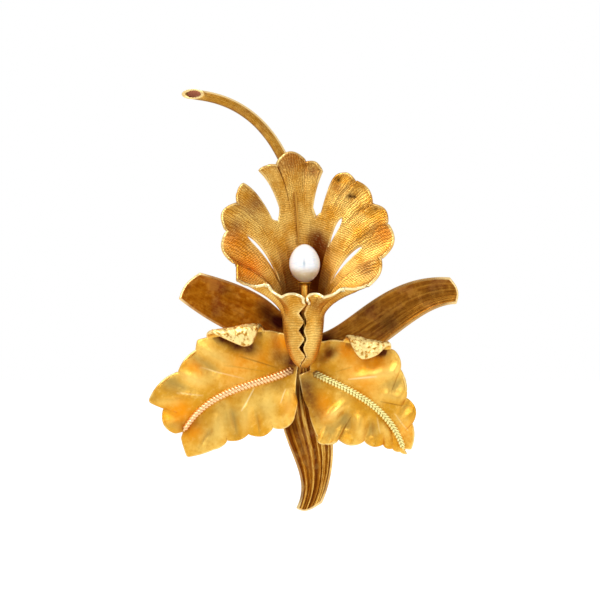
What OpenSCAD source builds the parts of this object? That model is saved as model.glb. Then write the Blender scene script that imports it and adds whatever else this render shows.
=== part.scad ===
// Orchid brooch with a pearl, in millimetres. +Z is up towards the stem, -Y is the front,
// and the origin is on the axis of the closed needle, behind the middle of the flower.

/* [Needle and catch] */
// Distance from the hinge rivet to the middle of the catch
pin_span = 21.2; // [18:0.1:24]
// Radius of the needle's straight shaft
needle_r = 0.4; // [0.3:0.05:0.5]
// Distance from the back bar to the needle's axis
needle_lift = 1.7; // [1.6:0.05:2.4]
// Radius of the hinge rivet
rivet_r = 0.3; // [0.2:0.05:0.35]
// Radial clearance of a turning fit
running = 0.04; // [0.02:0.01:0.08]

/* [Back] */
// Thickness of the back bar
bar_t = 0.7; // [0.5:0.05:1.2]
// Height of the back bar
bar_h = 1.8; // [1.4:0.1:2.6]
// Radius of the hub disc
hub_r = 3; // [2.2:0.1:4]
// Thickness of the hub disc
hub_t = 0.6; // [0.4:0.05:1]
// Gap that the solder fills between neighbouring pieces
seat = 0.05; // [0.03:0.01:0.15]

/* [Stem] */
// Height of the stem's tip above the needle
stem_top = 34.4; // [28:0.1:42]
// How far the stem's tip reaches to the left
stem_reach = 16.4; // [12:0.1:20]
// Radius of the stem at the flower
stem_r = 0.85; // [0.6:0.05:0.95]
// Radius of the stem at its cut end
stem_end_r = 0.68; // [0.5:0.02:0.9]
// Wall of the stem at its cut end
stem_wall = 0.2; // [0.1:0.02:0.3]

/* [Lip] */
// Half the width of the lip across its side lobes
lip_w = 11.8; // [9:0.1:14]
// Height of the lip's middle lobe above the throat
lip_h = 22.9; // [18:0.1:28]
// How far the lip's front rim stands out from the axis of its tube
lip_forward = 3.8; // [3.2:0.1:5]
// Radius of the lip's tube at the throat
throat_r = 2.6; // [2.5:0.05:3]
// Height of the throat above the needle
throat_z = 4; // [3:0.1:5]
// Depth of the tube below the throat
tube_h = 6.2; // [5:0.1:8]
// Thickness of the lip's sheet
lip_t = 0.4; // [0.25:0.05:0.5]
// Radius of the raised vein
vein_r = 0.16; // [0.1:0.02:0.25]

/* [Pearl] */
// Width of the pearl
pearl_w = 4.24; // [3:0.02:4.6]
// Height of the pearl
pearl_h = 5.14; // [4:0.02:6]
// Height of the pearl's middle above the needle
pearl_z = 11.65; // [10:0.05:13]
// Radius of the pearl's post
post_r = 0.45; // [0.35:0.05:0.6]
// Radius of the peg in the drilled pearl
peg_r = 0.25; // [0.15:0.05:0.3]

/* [Petals] */
// Reach of the left petal
left_reach = 20.5; // [17:0.1:24]
// Drop of the left petal
left_drop = 14.3; // [12:0.1:17]
// Reach of the right petal
right_reach = 15; // [12:0.1:18]
// Drop of the right petal
right_drop = 13.9; // [12:0.1:17]
// Thickness of the petals' sheet
petal_t = 0.45; // [0.3:0.05:0.6]
// Radius of the petals' rolled edges
roll_r = 0.85; // [0.6:0.05:1.1]
// Radius of the midribs at the tube
rib_r = 0.55; // [0.35:0.05:0.6]

/* [Sepals] */
// Reach of the left sepal
left_sepal_reach = 16.6; // [14:0.1:20]
// Reach of the right sepal
right_sepal_reach = 20.8; // [17:0.1:24]
// Height of the side sepals' upper edges
sepal_rise = 10; // [8:0.1:12]
// Drop of the lower sepal
lower_sepal_drop = 21.2; // [17:0.1:25]
// Thickness of the sepals' sheet
sepal_t = 0.45; // [0.3:0.05:0.6]

/* [Hidden] */
$fn = 48;

// Back fittings along the needle
hinge_x = -pin_span / 2;
catch_x = pin_span / 2;
eye_t = 2 * needle_r + 0.2;
eye_r = needle_r + 0.4;
ear_t = 0.5;
ear_r = 0.95;
ear_gap = eye_t + 2 * running;
neck_l = 1.5;
housing_r = 1.35;
housing_wall = 0.37;
housing_l = 1.1;
flange_t = 0.25;
flange_r = 1.2;
rotor_l = housing_l + 2 * (flange_t + seat);
rotor_wall = 0.33;
slot_w = 2 * needle_r + 0.14;
lever_r = 2.1;
taper_l = 2.9;
tip_r = 0.08;
bar_past_hinge = 1.5;
bar_past_catch = 0.9;

// Layers from back to front
bar_front = -needle_lift - bar_t;
hub_front = bar_front - hub_t;
sepal_y = hub_front - seat - sepal_t / 2;
layer_gap = 0.15;
petal_y = sepal_y - sepal_t / 2 - layer_gap - petal_t / 2;
tube_y = petal_y - petal_t / 2 - layer_gap - lip_t / 2 - throat_r;
hub_post_r = 0.7;
hub_post_z = 1;
pearl_y = tube_y - 0.2;
pearl_x = 0.15;

// Points a third and two thirds of the way shape each cubic curve
function bezier(p, t) =
    (1 - t) ^ 3 * p[0] + 3 * t * (1 - t) ^ 2 * p[1] + 3 * t ^ 2 * (1 - t) * p[2] + t ^ 3 * p[3];

function unit(v) = v / max(norm(v), 1e-9);

function mix(a, b, t) = a + (b - a) * t;

// A scalloped edge through rows of [x, z, ..., bulge]: each row's bulge is how far the lobe to the
// next row swells, and side is 1 where it swells to the left of the way along, or -1.
function scallop(rows, u, side) =
    let (
        k = min(floor(u), len(rows) - 2),
        f = u - k,
        a = rows[k],
        along = unit([rows[k + 1].x - a.x, rows[k + 1].y - a.y]),
        swell = side * a[len(a) - 1] * max(sin(180 * f), 0) ^ 0.7
    )
    mix([a.x, a.y], [rows[k + 1].x, rows[k + 1].y], f) + swell * [-along.y, along.x];

// A sheet of thickness t over a grid of points. Column i and the next are the two sides of a cut for
// each [i, from, to] in cuts, and are one line of points outside those rows.
function left_of_cut(cuts, i) = len([for (c = cuts) if (c[0] == i) c]) > 0;

function open_at(cuts, i, j) = len([for (c = cuts) if (c[0] == i && j > c[1] && j < c[2]) c]) > 0;

function sheet_normal(g, cuts, i, j) =
    let (
        i0 = i == 0 || left_of_cut(cuts, i - 1) ? i : i - 1,
        i1 = i == len(g) - 1 || left_of_cut(cuts, i) ? i : i + 1,
        j0 = max(j - 1, 0),
        j1 = min(j + 1, len(g[0]) - 1)
    )
    unit(cross(g[i1][j] - g[i0][j], g[i][j1] - g[i][j0]));

module sheet(g, t, cuts = []) {
    nu = len(g) - 1;
    nv = len(g[0]) - 1;
    n = (nu + 1) * (nv + 1);
    function id(i, j) =
        i > 0 && left_of_cut(cuts, i - 1) && !open_at(cuts, i - 1, j)
            ? (i - 1) * (nv + 1) + j
            : i * (nv + 1) + j;
    function wall(p, q) = [[q, p, p + n], [q, p + n, q + n]];
    function in_cut(i, j) = len([for (c = cuts) if (c[0] == i && j >= c[1] && j < c[2]) c]) > 0;
    half = [for (i = [0:nu], j = [0:nv]) sheet_normal(g, cuts, i, j) * t / 2];
    flat = [for (i = [0:nu], j = [0:nv]) g[i][j]];
    front = [for (k = [0:n - 1]) flat[k] + half[k]];
    back = [for (k = [0:n - 1]) flat[k] - half[k]];
    cells = [for (i = [0:nu - 1], j = [0:nv - 1]) if (!left_of_cut(cuts, i)) [i, j]];
    skin = [
        for (c = cells)
            let (
                a = id(c[0], c[1]),
                b = id(c[0], c[1] + 1),
                e = id(c[0] + 1, c[1] + 1),
                d = id(c[0] + 1, c[1])
            )
            each [[a, b, e], [a, e, d], [a + n, e + n, b + n], [a + n, d + n, e + n]]
    ];
    ends = [
        for (i = [0:nu - 1])
            if (!left_of_cut(cuts, i))
                each concat(wall(id(i + 1, 0), id(i, 0)), wall(id(i, nv), id(i + 1, nv)))
    ];
    sides = [
        for (j = [0:nv - 1])
            each concat(wall(id(0, j), id(0, j + 1)), wall(id(nu, j + 1), id(nu, j)))
    ];
    slits = [
        for (i = [0:nu - 1], j = [0:nv - 1])
            if (left_of_cut(cuts, i) && in_cut(i, j))
                each concat(
                    wall(id(i, j + 1), id(i, j)),
                    wall(id(i + 1, j), id(i + 1, j + 1))
                )
    ];
    polyhedron(concat(front, back), concat(skin, ends, sides, slits));
}

// A round wire through rings of [centre, way along, radius, slant]. Slant leans a ring forward so
// that its back edge runs ahead.
module wire(rings, sides) {
    n = len(rings);
    points = [
        for (r = rings)
            let (across = unit(cross(r[1], [0, 1, 0])))
            for (k = [0:sides - 1])
                let (a = 360 * k / sides)
                r[0] + r[2] * (cos(a) * [0, 1, 0] + sin(a) * across)
                    + r[3] * r[2] * cos(a) * r[1]
    ];
    hoops = [
        for (i = [0:n - 2], k = [0:sides - 1])
            let (
                a = i * sides + k,
                b = i * sides + (k + 1) % sides
            )
            each [[a, a + sides, b + sides], [a, b + sides, b]]
    ];
    first = [for (k = [1:sides - 2]) [0, k, k + 1]];
    last = [for (k = [1:sides - 2]) (n - 1) * sides * [1, 1, 1] + [0, k + 1, k]];
    polyhedron(points, concat(hoops, first, last));
}

// ---- Stem: a curve from the cut tip, then straight down behind the lip to the hub
stem_y = bar_front + 0.35;
stem_foot_z = hub_r + seat;
stem_bend = [
    [-stem_reach, stem_y, stem_top],
    [-0.48 * stem_reach, stem_y, stem_top],
    [-0.105 * stem_reach, stem_y, 0.85 * stem_top],
    [0.3, stem_y, 0.44 * stem_top]
];
stem_foot = [0, stem_y, stem_foot_z];
stem_slant = 1.7;
recess_depth = 0.5;
plug_t = 0.35;

function stem_at(t) = t <= 1 ? bezier(stem_bend, t) : mix(stem_bend[3], stem_foot, t - 1);

function stem_way(t) = unit(stem_at(max(t - 0.01, 0)) - stem_at(min(t + 0.01, 2)));

stem_end = stem_at(0) + stem_way(0) * -stem_slant * stem_end_r;

module stem() {
    steps = 34;
    way = stem_way(0);
    inner = stem_end_r - stem_wall;
    body = [
        for (k = [0:steps])
            let (t = 2 - (2 - 0.07) * k / steps)
            [stem_at(t), stem_way(t), mix(stem_end_r, stem_r, t / 2), 0]
    ];
    mouth = [
        [stem_end, way, stem_end_r, stem_slant],
        [stem_end, way, inner, stem_slant],
        [stem_end - recess_depth * way, way, inner, stem_slant]
    ];
    color("#b07a28") wire(concat(body, mouth), 20);
}

module stem_plug() {
    way = stem_way(0);
    plug_r = stem_end_r - stem_wall - running;
    floor_at = stem_end - (recess_depth - running) * way;
    color("#8a5a50")
        wire([[floor_at, way, plug_r, stem_slant], [floor_at + plug_t * way, way, plug_r, stem_slant]], 20);
}

// ---- Hub and back bar
module hub_disc() {
    color("#b98a35")
        translate([0, bar_front, 0]) rotate([90, 0, 0]) cylinder(r = hub_r, h = hub_t);
}

module hub_post() {
    tube_back = tube_y + tube_radius(hub_post_z) + lip_t / 2;
    color("#b98a35")
        translate([0, hub_front, hub_post_z]) rotate([90, 0, 0])
            cylinder(r = hub_post_r, h = hub_front - tube_back - 3 * seat);
}

module back_bar() {
    color("#c89a45")
        difference() {
            translate([hinge_x - bar_past_hinge, bar_front, -bar_h / 2])
                cube([pin_span + bar_past_hinge + bar_past_catch, bar_t, bar_h]);
            for (x = [hinge_x - bar_past_hinge, catch_x + bar_past_catch])
                translate([x, bar_front - 1, 0]) rotate([-90, 0, 0])
                    bar_end_cut(x < 0 ? -1 : 1);
        }
}

// What is cut away to round one end of the bar
module bar_end_cut(side) {
    r = bar_h / 2;
    difference() {
        translate([-r, -r - 0.1, 0]) cube([2 * r, 2 * r + 0.2, bar_t + 2]);
        translate([-side * r, 0, -1]) cylinder(r = r, h = bar_t + 4);
        translate([side < 0 ? r : -3 * r, -r - 1, -1]) cube([2 * r, 2 * r + 2, bar_t + 4]);
    }
}

// ---- Lip. Rim rows: [across, up, forward, bulge], the first three as shares of lip_w, lip_h and
// lip_forward from the throat's middle, the bulge in mm. They run from the left edge of the front
// seam over the top to its right edge.
lip_rows = [
    [0.02, 0.13, 0.95, -0.35],
    [-0.245, 0.139, 1, 0.6],
    [-0.407, 0.218, 0.7, 0.75],
    [-0.75, 0.235, 0.75, 0.1],
    [-0.75, 0.33, 0.45, 1.4],
    [-0.86, 0.52, 0.2, 1.6],
    [-0.73, 0.68, -0.15, 0.8],
    [-0.589, 0.838, -0.4, 0.5],
    [-0.31, 0.9, -0.6, 1.7],
    [0.03, 0.92, -0.68, 0.6],
    [0.295, 0.857, -0.6, 0.75],
    [0.585, 0.81, -0.4, 0.9],
    [0.77, 0.67, -0.2, 1],
    [0.945, 0.565, 0, 1.4],
    [0.87, 0.365, 0.3, 0.9],
    [0.719, 0.2, 0.6, 0.45],
    [0.446, 0.191, 0.85, 0.5],
    [0.229, 0.137, 1, -0.5],
    [0.05, 0.12, 0.95, 0]
];
// Where each row starts round the tube, in degrees from the back
lip_angles = [
    -173, -150, -122, -102, -86, -68, -52, -37, -18, 0, 18, 36, 53, 70, 90, 110, 132, 158, 173
];
// Pierced slits and notches: [row, from, to, width in mm, 1 if it reaches the rim], where from and
// to count along the flare
lip_cuts = [
    [5.2, 5, 12, 0.85, 0],
    [7, 9, 16, 3, 1],
    [10, 9, 16, 2.3, 1],
    [11.6, 7, 11, 0.85, 0],
    [13.2, 5, 11, 0.75, 0]
];
cut_reach = 1.1;
rows_per_lobe = 5;
tube_steps = 6;
flare_steps = 16;
tooth_w = 0.42;
tooth_h = 2.3;

function tube_share(h) = sqrt(1 - (1 - h) ^ 3) * (0.78 + 0.22 * h);

function tube_radius(z) = throat_r * tube_share((z - throat_z + tube_h) / tube_h);

function lip_angle(u) =
    let (k = min(floor(u), len(lip_angles) - 2))
    mix(lip_angles[k], lip_angles[k + 1], u - k);

function lip_rim(u) =
    let (
        k = min(floor(u), len(lip_rows) - 2),
        rows = [for (r = lip_rows) [r[0] * lip_w, throat_z + r[1] * lip_h, r[3]]],
        p = scallop(rows, u, 1),
        forward = mix(lip_rows[k][2], lip_rows[k + 1][2], u - k) * lip_forward,
        curl = 0.35 * sin(180 * (u - k))
    )
    [p.x, tube_y - forward + curl, p.y];

// A rib of the lip at row u: v from -1 to 0 climbs the tube, and from 0 to 1 it flares to the rim
function lip_rib(u, v) =
    let (a = lip_angle(u))
    v < 0
        ? let (h = (1 + v) ^ 1.4, r = throat_r * tube_share(h * 0.996 + 0.004))
            [r * sin(a), tube_y + r * cos(a), throat_z - tube_h * (1 - h)]
        : let (
            start = [throat_r * sin(a), tube_y + throat_r * cos(a), throat_z],
            end = lip_rim(u),
            d = end - start,
            back = (1 + cos(a)) / 2,
            out = mix(0.62, 0.35, back)
        )
        bezier(
            [
                start,
                start + [0, 0, mix(0.35, 0.5, back) * d.z],
                start + [out * d.x, out * d.y, 0.88 * d.z],
                end
            ],
            v
        );

// The seam's teeth: a zigzag up the front, which dies out within a lobe
function tooth(z) = tooth_w * (4 * abs((z / tooth_h) % 1 - 0.5) - 1);

function seam_shift(u, z) =
    let (from_seam = min(u, len(lip_rows) - 1 - u))
    tooth(z + 10) * max(1 - from_seam, 0) ^ 2;

// A cut opens by pushing the sheet aside, less and less up to cut_reach rows away
function cut_width(c, v) =
    let (f = (v * flare_steps - c[1]) / (c[2] - c[1]))
    f <= 0 || f >= 1 + c[4] ? 0
    : c[4] == 1 ? c[3] * sqrt(min(5 * f, 1)) * (0.6 + 0.4 * f)
    : c[3] * sqrt(f) * sqrt(max(1 - f ^ 4, 0));

function cut_shift(u, side, v) =
    v <= 0 ? 0
    : let (
        pushes = [
            for (c = lip_cuts)
                let (d = u - c[0], s = abs(d) < 0.01 ? side : sign(d))
                s * cut_width(c, v) / 2 * max(1 - abs(d) / cut_reach, 0) ^ 1.2
        ]
    )
    pushes * [for (c = lip_cuts) 1];

function lip_at(u, side, v) =
    let (
        p = lip_rib(u, v),
        ahead = lip_rib(min(u + 0.5, len(lip_rows) - 1), v),
        behind = lip_rib(max(u - 0.5, 0), v)
    )
    p + cut_shift(u, side, v) * unit(ahead - behind) + [seam_shift(u, p.z), 0, 0];

module lip() {
    last = (len(lip_rows) - 1) * rows_per_lobe;
    columns = [
        for (k = [0:last])
            let (
                u = k / rows_per_lobe,
                cut = len([for (c = lip_cuts) if (abs(c[0] - u) < 0.01) c]) > 0
            )
            each cut ? [[u, -1], [u, 1]] : [[u, 0]]
    ];
    cuts = [
        for (i = [0:len(columns) - 1], c = lip_cuts)
            if (abs(columns[i][0] - c[0]) < 0.01 && columns[i][1] == -1)
                [i, tube_steps + c[1], tube_steps + c[2] + c[4]]
    ];
    grid = [
        for (c = columns)
            [
                for (j = [0:tube_steps + flare_steps])
                    lip_at(c[0], c[1], j < tube_steps ? j / tube_steps - 1 : (j - tube_steps) / flare_steps)
            ]
    ];
    color("#c88c32") sheet(grid, lip_t, cuts);
}

module lip_vein() {
    row = 8.45;
    steps = 10;
    step_v = 0.02;
    off = [0, -(lip_t / 2 + vein_r + seat), 0];
    color("#d8a548")
        wire(
            [
                for (k = [0:steps])
                    let (v = mix(0.33, 0.63, k / steps))
                    [
                        lip_at(row, 0, v) + off,
                        unit(lip_at(row, 0, v + step_v) - lip_at(row, 0, v - step_v)),
                        vein_r * mix(0.6, 1, k / steps),
                        0
                    ]
            ],
            8
        );
}

// ---- Pearl on its post
pearl_foot = pearl_z - pearl_h / 2;
post_foot = throat_z - tube_h + 0.6;
peg_l = 1.8;
cup_r = 0.95;
cup_t = 0.2;

module pearl() {
    steps = 24;
    color("#f4f1ec")
        translate([pearl_x, pearl_y, pearl_z])
            difference() {
                rotate_extrude($fn = 64)
                    polygon([
                        for (k = [0:steps])
                            let (a = -90 + 180 * k / steps)
                            [max(pearl_w / 2 * cos(a) * (1 - 0.05 * sin(a)), 0), pearl_h / 2 * sin(a)]
                    ]);
                translate([0, 0, -pearl_h / 2 - 1])
                    cylinder(r = peg_r + running, h = peg_l + 1 + running);
            }
}

module pearl_cup() {
    hole = peg_r + running;
    seat_z = pearl_foot - 2 * seat;
    color("#d9b25a")
        translate([pearl_x, pearl_y, seat_z - cup_t])
            rotate_extrude()
                polygon([
                    [hole, 0], [post_r, 0], [cup_r, cup_t], [cup_r - 0.05, 1.4 * cup_t],
                    [post_r, cup_t], [hole, cup_t]
                ]);
}

module pearl_post() {
    shoulder = pearl_foot - 3 * seat - cup_t;
    color("#c0913c")
        translate([pearl_x, pearl_y, 0]) {
            translate([0, 0, post_foot]) cylinder(r = post_r, h = shoulder - post_foot);
            translate([0, 0, shoulder - 0.1]) cylinder(r = peg_r, h = pearl_foot + peg_l - shoulder + 0.05);
        }
}

// ---- Petals. Edge rows: [across, down, bulge], across and down as shares of the reach and drop
// from the hub's middle. Each petal has an upper and a lower edge, both from the hub to the end of
// the midrib, and the midrib is a cubic curve.
left_upper = [
    [-0.058, 0.06, 0.35], [-0.16, 0.15, 0.2], [-0.29, 0.165, 0.2], [-0.43, 0.14, 0.15], [-0.59, 0.1, 0.2],
    [-0.69, 0.08, 0.12], [-0.81, -0.215, 0.7], [-1, -0.48, 0.05], [-0.9, -0.54, 1.3], [-0.79, -0.775, 0]
];
left_lower = [
    [-0.05, -0.22, 0], [-0.058, -0.42, 0.3], [-0.06, -0.61, 0.9], [-0.2, -0.715, 0.2], [-0.265, -0.8, 0.2],
    [-0.36, -0.775, 0.5], [-0.5, -0.835, 0.3], [-0.585, -0.925, 0.15], [-0.755, -0.995, 0.2], [-0.79, -0.79, 0]
];
left_rib = [[-0.04, -0.16], [-0.27, -0.35], [-0.61, -0.31], [-0.79, -0.78]];
right_upper = [
    [0.08, 0.045, 0.1], [0.19, 0.07, 0.1], [0.3, 0.083, 0.05], [0.42, 0.06, 0.1], [0.55, 0.025, 0.1],
    [0.68, 0, 0.1], [0.8, -0.01, 0.4], [0.853, -0.187, 0.45], [0.905, -0.47, 0.9], [0.96, -0.705, 0.5],
    [0.93, -0.99, 0]
];
right_lower = [
    [-0.035, -0.245, 0], [0, -0.44, 0.05], [0.05, -0.56, 0.15], [0.13, -0.83, 0.5], [0.2, -0.9, 0.5],
    [0.305, -0.835, 0.9], [0.545, -0.86, 0.7], [0.72, -0.89, 0.4], [0.8, -0.94, 0.2], [0.87, -0.975, 0.1],
    [0.93, -0.995, 0]
];
right_rib = [[0.063, -0.2], [0.33, -0.36], [0.77, -0.49], [0.9, -0.97]];
columns_per_row = 4;
across_steps = 7;
roll_steps = 7;
turned = 0.12;
petal_arch = 1.1;
petal_wave = 0.7;
arch_turn = 150;

// How long the rolled flap is at row u: [first row, last row, length]
left_roll = [1.6, 4.15, 4.4];
right_roll = [2.4, 6.3, 4.1];

function roll_length(roll, u) =
    u <= roll[0] || u >= roll[1] ? turned
    : turned + roll[2] * sin(180 * (u - roll[0]) / (roll[1] - roll[0])) ^ 0.8;

// Where a point d along the flap lies: [outwards, forwards]
function rolled(d) =
    let (a = min(d / roll_r * 180 / PI, 180), rest = max(d - PI * roll_r, 0))
    [roll_r * sin(a) - rest, roll_r * (1 - cos(a))];

// Depth of a petal at s along the rib and t from it to the edge: arched forward, with a wave that
// brings each lobe forward as far as it swells
function petal_depth(s, t, swell) =
    petal_y - petal_arch * sin(arch_turn * s) * (1 - 0.5 * t ^ 2) - petal_wave * swell * t ^ 1.5;

function petal_swell(rows, u) = rows[min(floor(u), len(rows) - 2)][2] * sin(180 * (u - floor(u))) ^ 2;

function petal_edge(rows, reach, drop, u, side) =
    scallop([for (r = rows) [r[0] * reach, r[1] * drop, r[2]]], u, side);

function petal_rib(rib, reach, drop, s) =
    let (p = bezier(rib, s))
    [p.x * reach, p.y * drop];

// One column of points from the rib out to the edge, then along the flap
function petal_column(rows, rib, reach, drop, roll, u, side) =
    let (
        s = u / (len(rows) - 1),
        m = petal_rib(rib, reach, drop, s),
        e = petal_edge(rows, reach, drop, u, side),
        out = unit(e - m),
        swell = petal_swell(rows, u),
        flap = roll_length(roll, u)
    )
    [
        for (j = [0:across_steps + roll_steps])
            let (
                t = min(j / across_steps, 1),
                p = mix(m, e, t),
                r = rolled(flap * max(j - across_steps, 0) / roll_steps)
            )
            [p.x + out.x * r[0], petal_depth(s, t, swell) - r[1], p.y + out.y * r[0]]
    ];

// The whole petal as one grid: each column runs from the flap of the lower edge over the rib to the
// flap of the upper edge
module petal(upper, lower, rib, reach, drop, roll, side) {
    last = (len(upper) - 1) * columns_per_row;
    end_share = 0.985;
    no_roll = [0, 0, 0];
    grid = [
        for (k = [0:last])
            let (
                u = end_share * k / columns_per_row,
                up = petal_column(upper, rib, reach, drop, roll, u, side),
                down = petal_column(lower, rib, reach, drop, no_roll, u, -side)
            )
            concat([for (j = [across_steps + 1:-1:1]) down[j]], up)
    ];
    sheet(grid, petal_t);
}

module left_petal() {
    color("#cfa045") petal(left_upper, left_lower, left_rib, left_reach, left_drop, left_roll, -1);
}

module right_petal() {
    color("#cfa045") petal(right_upper, right_lower, right_rib, right_reach, right_drop, right_roll, 1);
}

// A midrib lies on the front of its petal
module midrib(rib, reach, drop, r0, r1) {
    steps = 36;
    from = 0.03;
    to = 0.96;
    function at(s) =
        let (p = petal_rib(rib, reach, drop, s))
        [p.x, petal_depth(s, 0, 0) - petal_t / 2 - mix(r0, r1, s) - 2 * seat, p.y];
    wire(
        [
            for (k = [0:steps])
                let (s = mix(from, to, k / steps))
                [at(s), unit(at(s + 0.01) - at(s - 0.01)), mix(r0, r1, s), 0]
        ],
        10
    );
}

module left_midrib() {
    color("#e0b890") midrib(left_rib, left_reach, left_drop, rib_r, 0.7 * rib_r);
}

module right_midrib() {
    color("#e2d583") midrib(right_rib, right_reach, right_drop, rib_r, 0.7 * rib_r);
}

// ---- Sepals: a strap between two cubic edges, rounded at the end and cupped across. Edge points
// are [across, up] in mm.
function sepal_at(edge_a, edge_b, end_bulge, s, t) =
    let (
        a = bezier(edge_a, s),
        b = bezier(edge_b, s),
        along = unit(bezier(edge_a, 1) - bezier(edge_a, 0.97) + bezier(edge_b, 1) - bezier(edge_b, 0.97))
    )
    mix(a, b, t) + end_bulge * s ^ 6 * sin(180 * t) * along;

module sepal(edge_a, edge_b, end_bulge, cup, bow) {
    along_steps = 18;
    half_steps = 5;
    flat_share = 0.25;
    grid = [
        for (i = [0:along_steps])
            let (
                s = i / along_steps,
                clear = min(max(s - flat_share, 0) / flat_share, 1)
            )
            [
                for (j = [-half_steps:half_steps])
                    let (
                        t = 0.5 + j / half_steps / 2,
                        p = sepal_at(edge_a, edge_b, end_bulge, s, t)
                    )
                    [p.x, sepal_y + cup * clear * (1 - (2 * t - 1) ^ 2) + bow * s ^ 3, p.y]
            ]
    ];
    sheet(grid, sepal_t);
}

module left_sepal() {
    r = left_sepal_reach;
    h = sepal_rise;
    upper = [[-1.1, 1.9], [-0.19 * r, 0.7 * h], [-0.5 * r, 0.88 * h], [-0.835 * r, 1.03 * h]];
    lower = [[-1.6, 0.6], [-0.3 * r, 0.02 * h], [-0.66 * r, 0.24 * h], [-r, 0.69 * h]];
    color("#8a5f22") sepal(upper, lower, 0.5, 0.35, 0.6);
}

module right_sepal() {
    r = right_sepal_reach;
    h = sepal_rise;
    upper = [[1.1, 1.9], [0.29 * r, 0.22 * h], [0.49 * r, 1.03 * h], [0.945 * r, 0.965 * h]];
    lower = [[1.6, 0.6], [0.35 * r, -0.62 * h], [0.66 * r, 0.62 * h], [0.985 * r, 0.63 * h]];
    color("#7a5222") sepal(upper, lower, 0.6, 0.35, 0.6);
}

module lower_sepal() {
    d = lower_sepal_drop;
    left = [[-0.8, -0.07 * d], [-7, -0.48 * d], [2.3, -0.72 * d], [-0.8, -d]];
    right = [[0.7, -0.07 * d], [4.2, -0.38 * d], [4.9, -0.7 * d], [2.4, -0.965 * d]];
    color("#a8742a") sepal(left, right, 0.7, 0.4, 0.5);
}

// ---- Hinge at the left: two ears, a rivet and the eye of the needle between them
module ear() {
    linear_extrude(ear_t)
        difference() {
            union() {
                circle(r = ear_r);
                translate([-ear_r, -needle_lift]) square([2 * ear_r, needle_lift]);
            }
            circle(r = rivet_r + 0.02);
        }
}

module hinge_bracket() {
    floor_t = 0.3;
    color("#c89a45")
        translate([hinge_x, 0, 0]) {
            for (z = [ear_gap / 2, -ear_gap / 2 - ear_t])
                translate([0, 0, z]) ear();
            translate([-ear_r, -needle_lift, -ear_gap / 2 - ear_t])
                cube([2 * ear_r, floor_t, ear_gap + 2 * ear_t]);
        }
}

module hinge_rivet() {
    head_t = 0.2;
    head_r = rivet_r + 0.2;
    l = ear_gap + 2 * ear_t + 2 * seat;
    color("#b98a35")
        translate([hinge_x, 0, -l / 2]) {
            cylinder(r = rivet_r, h = l);
            for (z = [-head_t, l]) translate([0, 0, z]) cylinder(r = head_r, h = head_t);
        }
}

module needle() {
    neck_w = 2 * needle_r + 0.06;
    shaft_from = hinge_x + neck_l;
    taper_from = catch_x + rotor_l / 2 + 0.4 - taper_l;
    color("#d6c08a")
        difference() {
            union() {
                translate([hinge_x, 0, -eye_t / 2]) cylinder(r = eye_r, h = eye_t);
                translate([hinge_x, -neck_w / 2, -neck_w / 2]) cube([neck_l, neck_w, neck_w]);
                translate([shaft_from, 0, 0]) rotate([0, 90, 0])
                    cylinder(r = needle_r, h = taper_from - shaft_from);
                translate([taper_from, 0, 0]) rotate([0, 90, 0])
                    cylinder(r1 = needle_r, r2 = tip_r, h = taper_l);
            }
            translate([hinge_x, 0, -eye_t]) cylinder(r = rivet_r + running, h = 2 * eye_t);
        }
}

// ---- Catch at the right: a C-shaped ring on the bar, and a slotted rotor that turns in it
module catch_housing() {
    foot_w = 1.4;
    color("#c89a45")
        translate([catch_x - housing_l / 2, 0, 0])
            difference() {
                union() {
                    rotate([0, 90, 0]) cylinder(r = housing_r, h = housing_l);
                    translate([0, -needle_lift, -foot_w / 2]) cube([housing_l, needle_lift, foot_w]);
                }
                translate([-1, 0, 0]) rotate([0, 90, 0])
                    cylinder(r = housing_r - housing_wall, h = housing_l + 2);
                translate([-1, 0, -slot_w / 2]) cube([housing_l + 2, housing_r + 1, slot_w]);
            }
}

module catch_rotor() {
    rotor_r = housing_r - housing_wall - running;
    lever_w = 0.7;
    color("#d6ab55")
        translate([catch_x - rotor_l / 2, 0, 0])
            difference() {
                union() {
                    rotate([0, 90, 0]) cylinder(r = rotor_r, h = rotor_l);
                    for (x = [0, rotor_l - flange_t])
                        translate([x, 0, 0]) rotate([0, 90, 0]) cylinder(r = flange_r, h = flange_t);
                    translate([rotor_l - flange_t, -lever_w / 2, -lever_r + lever_w / 2])
                        cube([flange_t, lever_w, lever_r - lever_w / 2]);
                    translate([rotor_l - flange_t, 0, -lever_r + lever_w / 2]) rotate([0, 90, 0])
                        cylinder(r = lever_w / 2, h = flange_t);
                }
                translate([-1, 0, 0]) rotate([0, 90, 0])
                    cylinder(r = rotor_r - rotor_wall, h = rotor_l + 2);
                translate([-1, 0, -slot_w / 2]) cube([rotor_l + 2, flange_r + 1, slot_w]);
            }
}

stem();
stem_plug();
hub_disc();
hub_post();
back_bar();
lip();
lip_vein();
pearl();
pearl_cup();
pearl_post();
left_petal();
right_petal();
left_midrib();
right_midrib();
left_sepal();
right_sepal();
lower_sepal();
hinge_bracket();
hinge_rivet();
needle();
catch_housing();
catch_rotor();
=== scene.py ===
import math

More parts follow.
